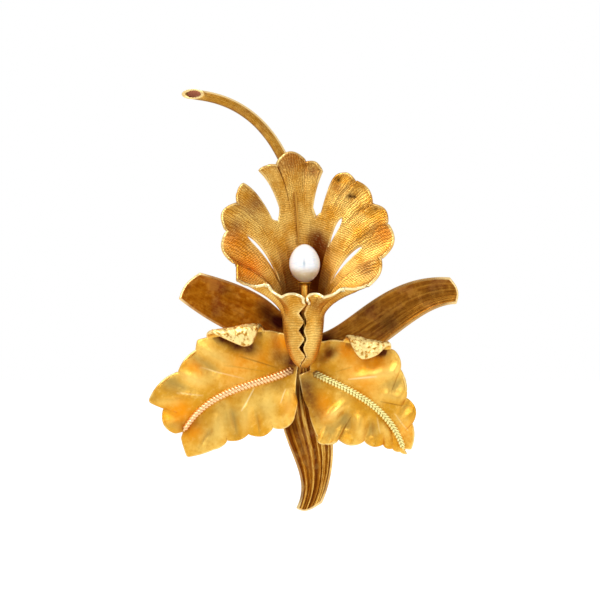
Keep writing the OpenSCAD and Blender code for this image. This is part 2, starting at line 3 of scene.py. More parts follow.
import bmesh
import bpy
import numpy as np
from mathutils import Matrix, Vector


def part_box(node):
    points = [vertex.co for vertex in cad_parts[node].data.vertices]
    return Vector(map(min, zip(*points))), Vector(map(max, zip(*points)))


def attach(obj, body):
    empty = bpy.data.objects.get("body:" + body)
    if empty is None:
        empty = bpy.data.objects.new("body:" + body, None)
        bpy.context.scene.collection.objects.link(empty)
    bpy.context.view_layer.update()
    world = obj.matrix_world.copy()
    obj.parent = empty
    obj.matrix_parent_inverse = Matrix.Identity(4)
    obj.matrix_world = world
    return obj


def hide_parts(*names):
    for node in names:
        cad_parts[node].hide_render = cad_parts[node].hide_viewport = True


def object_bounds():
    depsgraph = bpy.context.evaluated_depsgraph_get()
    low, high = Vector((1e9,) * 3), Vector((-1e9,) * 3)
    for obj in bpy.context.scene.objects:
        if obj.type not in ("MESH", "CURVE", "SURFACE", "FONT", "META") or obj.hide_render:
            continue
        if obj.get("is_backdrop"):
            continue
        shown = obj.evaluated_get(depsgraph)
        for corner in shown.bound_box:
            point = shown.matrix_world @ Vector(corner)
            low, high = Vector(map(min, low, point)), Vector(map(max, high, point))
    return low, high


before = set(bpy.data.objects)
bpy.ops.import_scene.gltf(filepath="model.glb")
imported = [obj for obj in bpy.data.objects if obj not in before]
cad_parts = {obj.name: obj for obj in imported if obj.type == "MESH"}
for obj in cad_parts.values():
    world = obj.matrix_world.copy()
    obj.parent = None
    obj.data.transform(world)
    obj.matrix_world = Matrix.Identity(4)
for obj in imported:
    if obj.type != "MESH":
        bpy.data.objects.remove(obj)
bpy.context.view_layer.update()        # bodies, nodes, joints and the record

# An orchid brooch of formed gold sheet, with a pearl. Lengths below are in mm in the part's frame:
# +X along the closed needle, -Y is the front, +Z up to the stem.
mm = 0.001


# ---- Small arithmetic
def mix(a, b, t):               # a where t is 0, b where it is 1
    return a + (b - a) * t


def unit(v):                    # each vector divided by its length
    return v / np.maximum(np.linalg.norm(v, axis=-1, keepdims=True), 1e-9)


def smooth(x, low, high):      # 0 below low, 1 above high, with an easy rise between
    t = np.clip((x - low) / (high - low), 0, 1)
    return t * t * (3 - 2 * t)


def bezier(points, t):         # cubic curve through four control points
    t = np.asarray(t, float)[..., None]
    p = [np.asarray(q, float) for q in points]
    return (1 - t) ** 3 * p[0] + 3 * t * (1 - t) ** 2 * p[1] + 3 * t ** 2 * (1 - t) * p[2] + t ** 3 * p[3]


def runAlong(path):            # the length of a path of points up to each of them
    return np.concatenate([[0], np.cumsum(np.linalg.norm(np.diff(path, axis=0), axis=1))])


def rowAt(u, rows):            # the row at or below u, and how far u lies from it to the next one
    k = np.clip(np.floor(u).astype(int), 0, len(rows) - 2)
    return k, u - k


def hashed(cell, seed):        # a steady random number from 0 to 1 for each lattice cell
    turned = np.sin(cell @ np.array([127.1, 311.7, 74.7]) + seed * 19.19) * 43758.5453
    return turned - np.floor(turned)


def cloud(p, size, seed=0):    # value noise: hashed lattice corners, blended smoothly between them
    q = p / size
    base = np.floor(q)
    f = q - base
    f = f * f * (3 - 2 * f)
    total = np.zeros(len(p))
    for corner in np.ndindex(2, 2, 2):
        pick = np.array(corner)
        weight = np.prod(np.where(pick, f, 1 - f), axis=1)
        total += weight * hashed(base + pick, seed)
    return total


def grains(p, size, seed=0):   # distance to the nearest of one jittered point in each lattice cell
    q = p / size
    base = np.floor(q)
    nearest = np.full(len(p), 9.0)
    for corner in np.ndindex(3, 3, 3):
        cell = base + np.array(corner) - 1
        point = cell + np.stack([hashed(cell, seed + k) for k in (1, 2, 3)], -1)
        nearest = np.minimum(nearest, np.linalg.norm(q - point, axis=1))
    return nearest


def nearSegment(x, z, ends, width):     # 1 on the line between two points, falling off over width
    (x0, z0), (x1, z1) = ends
    dx, dz = x1 - x0, z1 - z0
    t = np.clip(((x - x0) * dx + (z - z0) * dz) / (dx * dx + dz * dz), 0, 1)
    away = np.hypot(x - x0 - t * dx, z - z0 - t * dz)
    return np.exp(-(away / width) ** 2) * np.sqrt(np.clip(4 * t * (1 - t), 0, 1) * 0.8 + 0.2)


def blots(x, z, spots):        # the sum of soft round spots, each [x, z, radius, strength]
    return sum(s * np.exp(-((x - cx) ** 2 + (z - cz) ** 2) / r ** 2) for cx, cz, r, s in spots)


def corners(node):             # lowest and highest corner of a node, in mm
    return [np.array(corner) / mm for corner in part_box(node)]


# ---- Shader expressions
class Flow:                    # a socket in an expression: each operator adds one Math node
    def __init__(self, look, socket):
        self.look = look
        self.socket = socket

    def math(self, operation, *others):
        return self.look.node("ShaderNodeMath", {"operation": operation}, dict(enumerate((self, *others))))

    def __add__(self, other):
        return self.math("ADD", other)

    def __sub__(self, other):
        return self.math("SUBTRACT", other)

    def __rsub__(self, other):
        return self.look.node("ShaderNodeMath", {"operation": "SUBTRACT"}, {0: other, 1: self})

    def __mul__(self, other):
        return self.math("MULTIPLY", other)

    def __truediv__(self, other):
        return self.math("DIVIDE", other)

    __radd__ = __add__
    __rmul__ = __mul__

    def wave(self):
        return self.math("SINE")

    def most(self, other):
        return self.math("MAXIMUM", other)

    def least(self, other):
        return self.math("MINIMUM", other)

    def between(self, low, high):      # 0 below low, 1 above high
        values = {"Value": self, "From Min": low, "From Max": high}
        return self.look.node("ShaderNodeMapRange", {"interpolation_type": "SMOOTHSTEP"}, values)


class Look:                    # a material or world and its nodes
    def __init__(self, name, tree=None):
        if tree is None:
            self.material = bpy.data.materials.new(name)
            self.material.use_nodes = True
            tree = self.material.node_tree
        self.tree = tree
        tree.nodes.clear()

    def node(self, kind, settings=None, values=None, out=0):
        made = self.tree.nodes.new(kind)
        for key, value in (settings or {}).items():
            setattr(made, key, value)
        for key, value in (values or {}).items():
            if isinstance(value, Flow):
                self.tree.links.new(value.socket, made.inputs[key])
            else:
                made.inputs[key].default_value = value
        return Flow(self, made.outputs[out]) if len(made.outputs) else None

    def place(self):
        return self.node("ShaderNodeTexCoord", out="Object")

    def reading(self, name):   # a number kept on the mesh's points
        return self.node("ShaderNodeAttribute", {"attribute_name": name}, out="Fac")

    def grain(self, size, detail=3.0, roughness=0.5, stretch=None, vector=None):
        vector = vector or self.place()
        if stretch:
            vector = self.node("ShaderNodeVectorMath", {"operation": "MULTIPLY"}, {0: vector, 1: stretch})
        values = {"Vector": vector, "Scale": 1 / (size * mm), "Detail": detail, "Roughness": roughness}
        return self.node("ShaderNodeTexNoise", values=values)

    def blend(self, share, a, b):
        return self.node("ShaderNodeMix", {"data_type": "RGBA"}, {0: share, 6: a, 7: b}, out=2)

    def bump(self, height, depth, below=None):     # depth in mm for a height of 1
        values = {"Height": height, "Distance": depth * mm, "Strength": 1.0}
        if below:
            values["Normal"] = below
        return self.node("ShaderNodeBump", values=values)

    def surface(self, values):
        shader = self.node("ShaderNodeBsdfPrincipled", values=values)
        self.node("ShaderNodeOutputMaterial", values={"Surface": shader})
        return self.material

    def metal(self, colour, rough, normal):
        return self.surface({"Base Color": colour, "Metallic": 1.0, "Roughness": rough, "Normal": normal})


def tint(red, green, blue):    # a colour given from 0 to 255, as a linear one
    return tuple((c / 255) ** 2.2 for c in (red, green, blue)) + (1.0,)


# ---- Meshes
def addObject(name, data):     # a new object in the scene, at the origin
    made = bpy.data.objects.new(name, data)
    bpy.context.scene.collection.objects.link(made)
    return made


def makePiece(name, spots, faces, marks, uv, material, slot, nodes, body="flower"):
    # Puts points in mm and faces in a new object that rides on a body and stands for some nodes
    mesh = bpy.data.meshes.new(name)
    mesh.from_pydata((spots * mm).tolist(), [], [face for part in faces for face in part.tolist()])
    for key, values in marks.items():
        layer = mesh.attributes.new(key, "FLOAT", "POINT")
        layer.data.foreach_set("value", np.ascontiguousarray(values, dtype=np.float32))
    if uv is not None:
        at = np.empty(len(mesh.loops), dtype=np.int32)
        mesh.loops.foreach_get("vertex_index", at)
        mesh.uv_layers.new(name="surface").data.foreach_set("uv", (uv[at] * mm).astype(np.float32).ravel())
    mesh.polygons.foreach_set("use_smooth", np.ones(len(mesh.polygons), dtype=bool))
    mesh.materials.append(material)
    mesh.update()
    piece = addObject(name, mesh)
    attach(piece, body)
    if nodes:
        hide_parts(*nodes)
    print(f"{name}: {len(spots)} points")
    return piece


def pointNormals(spots, quads):        # the mean of the neighbouring faces' normals, by area
    faceNormal = np.cross(spots[quads[:, 2]] - spots[quads[:, 0]], spots[quads[:, 3]] - spots[quads[:, 1]])
    total = np.zeros_like(spots)
    for k in range(4):
        np.add.at(total, quads[:, k], faceNormal)
    return unit(total)


def facingFront(spots, quads):         # the same faces, turned over if they face the back
    return quads[:, ::-1] if pointNormals(spots, quads)[:, 1].mean() > 0 else quads


def openEdges(quads, count):           # directed edges that only one face has
    starts = quads.ravel()
    ends = np.roll(quads, -1, axis=1).ravel()
    alone = ~np.isin(starts.astype(np.int64) * count + ends, ends.astype(np.int64) * count + starts)
    return starts[alone], ends[alone]


def rimDistance(spots, rim):           # from each point to the nearest rim point
    away = np.empty(len(spots))
    for first in range(0, len(spots), 2000):
        part = spots[first:first + 2000]
        square = (part ** 2).sum(1)[:, None] + (rim ** 2).sum(1)[None] - 2 * part @ rim.T
        away[first:first + 2000] = np.sqrt(np.maximum(square.min(1), 0))
    return away


def sheetMesh(spots, quads, thickness, marks, uv, relief=0.0, underRelief=0.0, bead=0.5):
    # A closed sheet: the middle surface moved out by half the thickness on both sides along its
    # normals, and round its open edges a half-round rim of three rows. bead is the rim's reach as a
    # share of half the thickness. Each relief is added to one side, in mm.
    count = len(spots)
    normal = pointNormals(spots, quads)
    starts, ends = openEdges(quads, count)
    outward = np.zeros_like(spots)
    edgeWay = unit(spots[ends] - spots[starts])
    np.add.at(outward, starts, np.cross(edgeWay, normal[starts]))
    np.add.at(outward, ends, np.cross(edgeWay, normal[ends]))
    rimIds = np.unique(starts)
    outward = unit(outward[rimIds])
    away = rimDistance(spots, spots[rimIds])
    fade = smooth(away, 0.0, 0.25)
    half = thickness / 2
    front = spots + normal * (half + relief * fade)[:, None]
    back = spots - normal * (half + underRelief * fade)[:, None]
    rimPlace = np.full(count, -1)
    rimPlace[rimIds] = np.arange(len(rimIds))
    rows = []
    for angle in (50, 0, -50):
        a = math.radians(angle)
        lift = normal[rimIds] * (half * math.sin(a))
        rows.append(spots[rimIds] + lift + outward * (half * bead * math.cos(a)))
    a, b = rimPlace[starts], rimPlace[ends]
    ring = 2 * count + len(rimIds) * np.arange(3)
    ladder = [(starts, ends)] + [(a + r, b + r) for r in ring] + [(starts + count, ends + count)]
    strips = [np.stack([hi[1], hi[0], lo[0], lo[1]], 1) for hi, lo in zip(ladder[:-1], ladder[1:])]
    allSpots = np.concatenate([front, back] + rows)
    allFaces = [quads, quads[:, ::-1] + count] + strips
    every = {"side": np.repeat([1.0, 0.0, 0.5], [count, count, 3 * len(rimIds)])}
    every["away"] = np.concatenate([away, away, np.zeros(3 * len(rimIds))])
    for key, values in marks.items():
        every[key] = np.concatenate([values, values] + [values[rimIds]] * 3)
    allUv = np.concatenate([uv, uv] + [uv[rimIds]] * 3)
    return allSpots, allFaces, every, allUv


def gridQuads(rows, columns, around=False):     # faces of a grid of points, closed round if asked
    index = np.arange(rows * columns).reshape(rows, columns)
    if around:
        index = np.concatenate([index, index[:, :1]], axis=1)
    return np.stack([index[:-1, :-1], index[1:, :-1], index[1:, 1:], index[:-1, 1:]], -1).reshape(-1, 4)


def tubeMesh(rings, marks=None):       # rings of points round a path, each end closed to its middle
    count, sides = rings.shape[:2]
    spots = np.concatenate([rings.reshape(-1, 3), rings[:1].mean(1), rings[-1:].mean(1)])
    quads = gridQuads(count, sides, around=True)
    k = np.arange(sides)
    after = (k + 1) % sides
    last = (count - 1) * sides
    first = np.stack([np.full(sides, count * sides), k, after], 1)
    second = np.stack([np.full(sides, count * sides + 1), last + after, last + k], 1)
    every = {}
    for key, values in (marks or {}).items():
        every[key] = np.append(values.ravel(), [values[0].mean(), values[-1].mean()])
    return spots, [quads, first, second], every


def ringsAlong(path, way, radius, sides, slant=None, turn=0.0):
    # Ring point = centre + radius (cos a Y + sin a (way x Y)), a running round the ring. slant leans
    # each ring along the way.
    a = np.radians(turn) + np.linspace(0, 2 * np.pi, sides, endpoint=False)
    back = np.array([0.0, 1.0, 0.0])
    across = unit(np.cross(way, back))
    radius = np.broadcast_to(np.asarray(radius, float), (len(path), sides))
    rings = path[:, None] + radius[..., None] * (
        np.cos(a)[None, :, None] * back + np.sin(a)[None, :, None] * across[:, None]
    )
    if slant is not None:
        rings = rings + (slant[:, None] * radius * np.cos(a)[None])[..., None] * way[:, None]
    return rings, a


# ---- Finishes
def petalLook():
    # Satin yellow gold: fine grain, orange patches, olive patches partly in painted shade, scored veins,
    # painted shade in recesses and under the roll, painted highlights on fold crests and edges with
    # painted shade in fold hollows, and pale granules on the rolled edge
    look = Look("satin gold")
    rim = 1 - look.reading("away").between(0.02, 0.16)
    front = look.reading("side").between(0.2, 0.8)
    names = ("smoke", "orange", "olive", "vein", "sheen")
    smoke, orange, olive, vein, sheen = (look.reading(name) * front for name in names)
    granular = look.reading("roll")
    patch = look.grain(3.0, 4)
    fine = look.grain(0.22, 4, 0.65)
    speck = look.grain(0.5, 3)
    colour = look.blend(patch.between(0.35, 0.7), tint(222, 160, 48), tint(246, 200, 96))
    mottle = look.grain(0.6, 5, 0.65)
    colour = look.blend(mottle.between(0.48, 0.7) * 0.45, colour, tint(206, 134, 34))
    colour = look.blend((1 - mottle).between(0.52, 0.7) * 0.3, colour, tint(255, 218, 124))
    # Olive tone, partly painted shade on the shaded sides of the folds
    colour = look.blend(olive * (0.3 + 0.6 * patch), colour, tint(176, 146, 78))
    colour = look.blend((orange * (0.35 + 0.9 * mottle)).least(1.0), colour, tint(250, 150, 22))
    # Painted highlight on the folds' crests, and painted shade in their hollows
    colour = look.blend(sheen.most(0.0) * (0.2 + 0.6 * patch), colour, tint(255, 218, 122))
    colour = look.blend((sheen * -1).most(0.0) * 0.55, colour, tint(158, 132, 74))
    granules = look.blend(speck.between(0.34, 0.52), tint(186, 128, 44), tint(255, 234, 160))
    colour = look.blend(granular * 0.9, colour, granules)
    # Painted shade in recesses, under the roll and along the rib, over patina patches
    colour = look.blend((smoke * (0.5 + 0.9 * mottle)).least(1.0), colour, tint(96, 50, 36))
    colour = look.blend(vein.most(0.0), colour, tint(255, 232, 170))
    colour = look.blend((vein * -1).most(0.0), colour, tint(150, 96, 36))
    # Painted highlight along the edges
    colour = look.blend(rim * patch.between(0.35, 0.6) * 0.5, colour, tint(255, 232, 160))
    rough = 0.36 + 0.16 * fine - 0.1 * rim + 0.1 * patch
    height = fine * 0.6 + look.grain(0.09, 2) * 0.4
    dents = look.bump(mottle, 0.05)
    return look.metal(colour, rough, look.bump(height, 0.03, dents))


def engravedLook():
    # Gold sheet engraved with two crossing sets of fine lines. The inner side has both, the outer
    # side of the tube only lines round it.
    # It carries painted shade in the throat, under the folding lobe and in the creases, painted glints, and
    # painted highlights on the edges and the front rim
    look = Look("engraved gold")
    rim = 1 - look.reading("away").between(0.03, 0.2)
    inner = look.reading("side").between(0.55, 0.95)
    smoke, orange = look.reading("smoke"), look.reading("orange") * inner
    spread = look.node("ShaderNodeUVMap", {"uv_map": "surface"})
    u = look.node("ShaderNodeSeparateXYZ", values={0: spread}, out=0) / mm
    v = look.node("ShaderNodeSeparateXYZ", values={0: spread}, out=1) / mm
    patch = look.grain(2.4, 4)
    wobble = look.grain(0.8, 2)
    pitch = 2 * math.pi / lip["lineSpacing"]
    radial = ((u + 0.5 * wobble) * pitch).wave() * 0.5 + 0.5
    hoops = ((v + 0.35 * wobble) * pitch).wave() * 0.5 + 0.5
    hatch = hoops * 0.5 + radial * inner * 0.5 + (1 - inner) * 0.22
    dots = look.grain(0.2, 2, 0.6)
    lit = (hatch * 0.6 + dots * 0.6).between(0.35, 0.85)
    throat = look.reading("throat") * inner
    colour = look.blend(patch.between(0.3, 0.7), tint(212, 148, 50), tint(244, 198, 104))
    colour = look.blend((orange * (0.4 + patch)).least(1.0), colour, tint(255, 132, 8))
    # Patina patches, some of them painted shadow, and painted shade along the creases
    colour = look.blend((smoke * (0.6 + 0.8 * patch)).least(1.0), colour, tint(118, 64, 34))
    colour = look.blend((1 - lit) * (0.4 + 0.22 * inner), colour, tint(120, 62, 12))
    # Painted glints on the crests of the lines
    colour = look.blend(lit * dots.between(0.5, 0.8) * 0.4, colour, tint(255, 226, 140))
    # Painted shade deep in the throat and under the lobe that folds in front
    colour = look.blend((throat * (0.85 + 0.3 * patch)).least(0.95), colour, tint(92, 36, 4))
    colour = look.blend(look.reading("ray") * inner * 0.8, colour, tint(214, 156, 70))
    colour = look.blend(look.reading("pit") * inner, colour, tint(50, 22, 6))
    # Painted highlight along the edges
    colour = look.blend(rim * patch.between(0.3, 0.6) * 0.55, colour, tint(255, 222, 146))
    # Painted highlight on the front rim's bead
    front = look.reading("front") * (1 - look.reading("away").between(0.14, 0.3))
    colour = look.blend(front * 0.85, colour, tint(255, 240, 184))
    rough = 0.3 + 0.2 * dots - 0.08 * rim
    below = look.bump(dots, 0.02)
    return look.metal(colour, rough, look.bump(hatch, 0.035, below))


def sepalLook(name, light, mid, dark, lined=1.0):
    # Brown patinated gold. Where lined is 1 it is bright on its ridges and dark between them, where
    # it is 0 it is only clouded.
    look = Look(name)
    rim = 1 - look.reading("away").between(0.03, 0.2)
    ridge, smoke = look.reading("ridge"), look.reading("smoke")
    spread = look.node("ShaderNodeUVMap", {"uv_map": "surface"})
    patch = look.grain(2.6, 4)
    streak = look.grain(0.15, 5, 0.7, stretch=(1.0, 0.12, 1.0), vector=spread)
    clouds = look.grain(0.9, 5, 0.6)
    shade = (ridge * 0.5 + streak * 0.7) * lined + clouds * (1.1 - 1.1 * lined)
    colour = look.blend(shade.between(0.3, 0.85), tint(*dark), tint(*mid))
    colour = look.blend((ridge * streak * 1.6).between(0.45, 1.0) * (0.8 * lined), colour, tint(*light))
    colour = look.blend((clouds * patch * 3.2).between(0.7, 1.1) * (0.4 - 0.3 * lined), colour, tint(*light))
    colour = look.blend(patch.between(0.45, 0.7) * 0.4, colour, tint(126, 66, 44))
    # Dark patches of patina and painted shade, the shade near the base and in the stem's recess
    colour = look.blend((smoke * (0.7 + 0.6 * patch)).least(1.0), colour, tint(58, 24, 18))
    # Painted highlight along the edges, strongest where tip is 1: the sepals' ends and the whole stem
    tip = look.reading("tip")
    colour = look.blend(rim * (0.25 + 0.6 * tip), colour, tint(248, 216, 150))
    rough = 0.34 + 0.22 * streak - 0.08 * rim
    return look.metal(colour, rough, look.bump(streak, 0.03))


def wireLook(name, light, deep, rough):
    # Bright wire, dark in its grooves
    look = Look(name)
    ridge = look.reading("ridge")
    patch = look.grain(1.4, 3)
    fine = look.grain(0.12, 3)
    colour = look.blend((ridge + 0.3 * patch - 0.15).between(0.1, 0.75), tint(*deep), tint(*light))
    # Darker where this mark is set: painted shade near the hub on the midribs, an even darker tone on the
    # vein
    colour = look.blend(look.reading("smoke"), colour, tint(110, 64, 26))
    return look.metal(colour, rough + 0.14 * fine, look.bump(fine, 0.008))


def fittingLook(name, light, deep, rough, streakWay=(0.15, 1.0, 1.0)):
    # Polished findings with fine drawing lines, small scratches and a darker film in places
    look = Look(name)
    film = look.grain(2.2, 4)
    lines = look.grain(0.12, 3, 0.6, stretch=streakWay)
    scratch = look.grain(0.5, 1, stretch=(0.1, 1.0, 2.0)).between(0.62, 0.7)
    colour = look.blend(film.between(0.35, 0.75), tint(*light), tint(*deep))
    colour = look.blend(scratch * 0.35, colour, tint(255, 236, 180))
    return look.metal(colour, rough + 0.15 * film + 0.06 * lines, look.bump(lines, 0.004))


def pearlLook():
    # White nacre: a soft coat over a faintly banded body, creamy towards the foot, with a painted grey-blue
    # reflection upright in the middle of its front
    look = Look("white nacre")
    foot = look.reading("foot")
    bands = look.grain(0.7, 3, stretch=(1.0, 1.0, 3.0))
    colour = look.blend(bands.between(0.35, 0.65) * 0.6, tint(238, 236, 234), tint(214, 220, 230))
    colour = look.blend((foot * (0.6 + 0.8 * bands)).least(1.0), colour, tint(208, 182, 142))
    colour = look.blend(look.reading("blush") * 0.6, colour, tint(240, 192, 180))
    colour = look.blend(look.reading("paintedReflection") * 0.8, colour, tint(146, 164, 180))
    values = {"Base Color": colour, "Roughness": 0.16 + 0.08 * bands, "Coat Weight": 0.6,
              "Coat Roughness": 0.08, "Subsurface Weight": 0.12, "Subsurface Scale": 0.4 * mm,
              "Normal": look.bump(bands, 0.006)}
    return look.surface(values)


# ---- Layers, from the back disc forwards
sheetGap = {"solder": 0.05, "layer": 0.15, "sepal": 0.45, "petal": 0.45}
discLow, discHigh = corners("hub_disc")
postLow, postHigh = corners("pearl_post")
pearlLow, pearlHigh = corners("pearl")
sepalY = discLow[1] - sheetGap["solder"] - sheetGap["sepal"] / 2
petalY = sepalY - sheetGap["sepal"] / 2 - sheetGap["layer"] - sheetGap["petal"] / 2
postY = (postLow[1] + postHigh[1]) / 2
tubeY = postY + 0.2            # the post stands a little in front of the tube's axis


def scallop(rows, u, side):
    # An edge through rows of [x, z, ..., bulge]: between two rows it swells by the bulge of the
    # first, as a sine to the power of 0.7, to the left where side is 1
    k, f = rowAt(u, rows)
    a, b = rows[k, :2], rows[k + 1, :2]
    along = unit(b - a)
    swell = side * rows[k, -1] * np.clip(np.sin(np.pi * f), 0, None) ** 0.7
    return mix(a, b, f[..., None]) + swell[..., None] * np.stack([-along[..., 1], along[..., 0]], -1)


# ---- Lip
lip = {
    "halfWidth": 11.8, "height": 22.9, "forward": 3.8, "throatRadius": 2.6, "throatZ": 4.0,
    "tubeHeight": 6.2, "sheet": 0.4, "columnsPerLobe": 20, "tubeSteps": 24, "flareSteps": 80,
    "toothWidth": 0.42, "toothHeight": 2.3, "toothShare": 0.5,
    # Rim rows: [across, up, forward, bulge], the first three as shares of the sizes above
    "rows": [
        [0.02, 0.13, 0.95, -0.35], [-0.245, 0.139, 1, 0.6], [-0.407, 0.218, 0.7, 0.75],
        [-0.75, 0.235, 0.75, 0.1], [-0.75, 0.33, 0.45, 1.4], [-0.86, 0.52, 0.2, 1.6],
        [-0.73, 0.68, -0.15, 0.8], [-0.589, 0.838, -0.4, 0.5], [-0.31, 0.9, -0.6, 1.7],
        [0.03, 0.92, -0.68, 0.6], [0.295, 0.857, -0.6, 0.75], [0.585, 0.81, -0.4, 0.9],
        [0.77, 0.67, -0.2, 1], [0.945, 0.565, 0, 1.4], [0.87, 0.365, 0.3, 0.9],
        [0.719, 0.2, 0.6, 0.45], [0.446, 0.191, 0.85, 0.5], [0.229, 0.137, 1, -0.5],
        [0.05, 0.12, 0.95, 0],
    ],
    # Where each row starts round the tube, in degrees from the back
    "angles": [-173, -150, -122, -102, -86, -68, -52, -37, -18, 0, 18, 36, 53, 70, 90, 110, 132, 158, 173],
    # Slits and notches: [row, from, to, width, 1 if it reaches the rim], from and to as shares of
    # the flare
    "cuts": [
        [5.2, 0.3, 0.76, 1.1, 0], [7, 0.56, 1, 3.0, 1], [10, 0.56, 1, 2.3, 1],
        [11.6, 0.46, 0.67, 1.2, 0], [13.2, 0.32, 0.72, 1.1, 0],
    ],
    "cutReach": 1.1, "curl": 0.3, "crease": 0.28,
    "rays": 7, "firstRay": 8.2, "raySpacing": 0.3, "rayWidth": 0.06,     # places and width in rows
    "lineSpacing": 0.27, "lineRadius": 9.0,      # of the engraving; the radius unrolls the angle
    # Patches of patina, of painted shadow (two in dark, under the lobe that folds over the throat), and pits:
    # [x, z, radius, strength]
    "dark": [(6.6, 20.4, 0.7, 0.4), (4.6, 21.8, 0.8, 0.6), (-1.5, 25.3, 1.6, 0.7), (-6.4, 19.6, 1.4, 0.7),
             (-9.0, 16.6, 1.0, 0.6), (1.4, 24.0, 1.0, 0.7), (8.6, 10.6, 1.4, 0.6), (1.6, 6.0, 0.8, 0.5),
             (1.9, 14.9, 1.3, 1.0), (3.0, 13.6, 0.9, 0.8)],
    "orange": [(-9.4, 14.6, 1.6, 0.7), (-7.4, 11.0, 2.0, 0.95), (10.9, 15.6, 1.6, 0.7), (0.4, 10.6, 3.0, 0.6),
               (-2.2, 26.6, 2.2, 0.35), (0.4, 4.2, 2.0, 0.25)],
    "pits": [(4.75, 22.8, 0.3, 0.9), (6.3, 20.6, 0.3, 1.0), (6.9, 20.5, 0.25, 1.0), (9.7, 18.9, 0.18, 0.8)],
}


def tubeShare(h):              # the tube's radius as a share: round at the foot, slightly flared above
    return np.sqrt(1 - (1 - h) ** 3) * (0.78 + 0.22 * h)


def lipRim(u):
    # The scalloped edge of the fan, each row brought forward by its share, and each lobe's middle
    # back a little
    rows = np.array(lip["rows"], float)
    up = lip["throatZ"] + rows[:, 1] * lip["height"]
    flat = np.stack([rows[:, 0] * lip["halfWidth"], up, rows[:, 3]], 1)
    p = scallop(flat, u, 1)
    k, f = rowAt(u, rows)
    forward = mix(rows[k, 2], rows[k + 1, 2], f) * lip["forward"]
    return np.stack([p[..., 0], tubeY - forward + 0.35 * np.sin(np.pi * f), p[..., 1]], -1)


def lipRib(u, v):
    # v from -1 to 0 climbs the tube; from 0 to 1 a cubic curve leaves it upwards and bends out to
    # the rim, sooner at the front than at the back
    a = np.radians(np.interp(u, np.arange(len(lip["angles"])), lip["angles"]))
    h = np.clip(1 + v, 0, 1) ** 1.4
    r = lip["throatRadius"] * tubeShare(h * 0.996 + 0.004)
    tube = np.stack([r * np.sin(a), tubeY + r * np.cos(a), lip["throatZ"] - lip["tubeHeight"] * (1 - h)], -1)
    r0 = lip["throatRadius"]
    start = np.stack([r0 * np.sin(a), tubeY + r0 * np.cos(a), np.full_like(a, lip["throatZ"])], -1)
    end = lipRim(u)
    d = end - start
    back = (1 + np.cos(a)) / 2
    out = mix(0.62, 0.35, back)[..., None]
    up = mix(0.35, 0.5, back)[..., None]
    flare = bezier([start, start + d * up * [0, 0, 1], start + d * np.concatenate(
        [out, out, np.full_like(out, 0.88)], -1), end], np.clip(v, 0, 1))
    return np.where((v < 0)[..., None], tube, flare)


def cutWidth(cut, v):
    # A notch widens as a square root at its foot and then evenly. A slit is pointed at its foot and
    # round at its head.
    f = np.clip((v - cut[1]) / (cut[2] - cut[1]), 0, 1)
    if cut[4]:
        return cut[3] * np.sqrt(np.clip(9 * f, 0, 1)) * (0.6 + 0.4 * f) * (v > cut[1])
    return cut[3] * np.sqrt(f) * np.sqrt(np.clip(1 - f ** 4, 0, 1))


def lipAt(u, side, v):
    # The rib moved across by every cut, less and less away from it, and by the seam's zigzag, which
    # is shallower on its right edge, so that the seam gapes at the left teeth
    last = len(lip["rows"]) - 1
    p = lipRib(u, v)
    across = unit(lipRib(np.minimum(u + 0.5, last), v) - lipRib(np.maximum(u - 0.5, 0), v))
    push = np.zeros_like(u)
    for cut in lip["cuts"]:
        d = u - cut[0]
        way = np.where(np.abs(d) < 0.01, side, np.sign(d))
        push += way * cutWidth(cut, v) / 2 * np.clip(1 - np.abs(d) / lip["cutReach"], 0, 1) ** 1.2 * (v > 0)
    p = p + push[..., None] * across
    tooth = lip["toothWidth"] * (4 * np.abs(((p[..., 2] + 10) / lip["toothHeight"]) % 1 - 0.5) - 1)
    fromSeam = np.minimum(u, last - u)
    swing = 1 - lip["toothShare"] * (u > last / 2) * smooth(p[..., 2], -1.5, 0.5)
    p[..., 0] += tooth * swing * np.clip(1 - fromSeam, 0, 1) ** 2
    return p


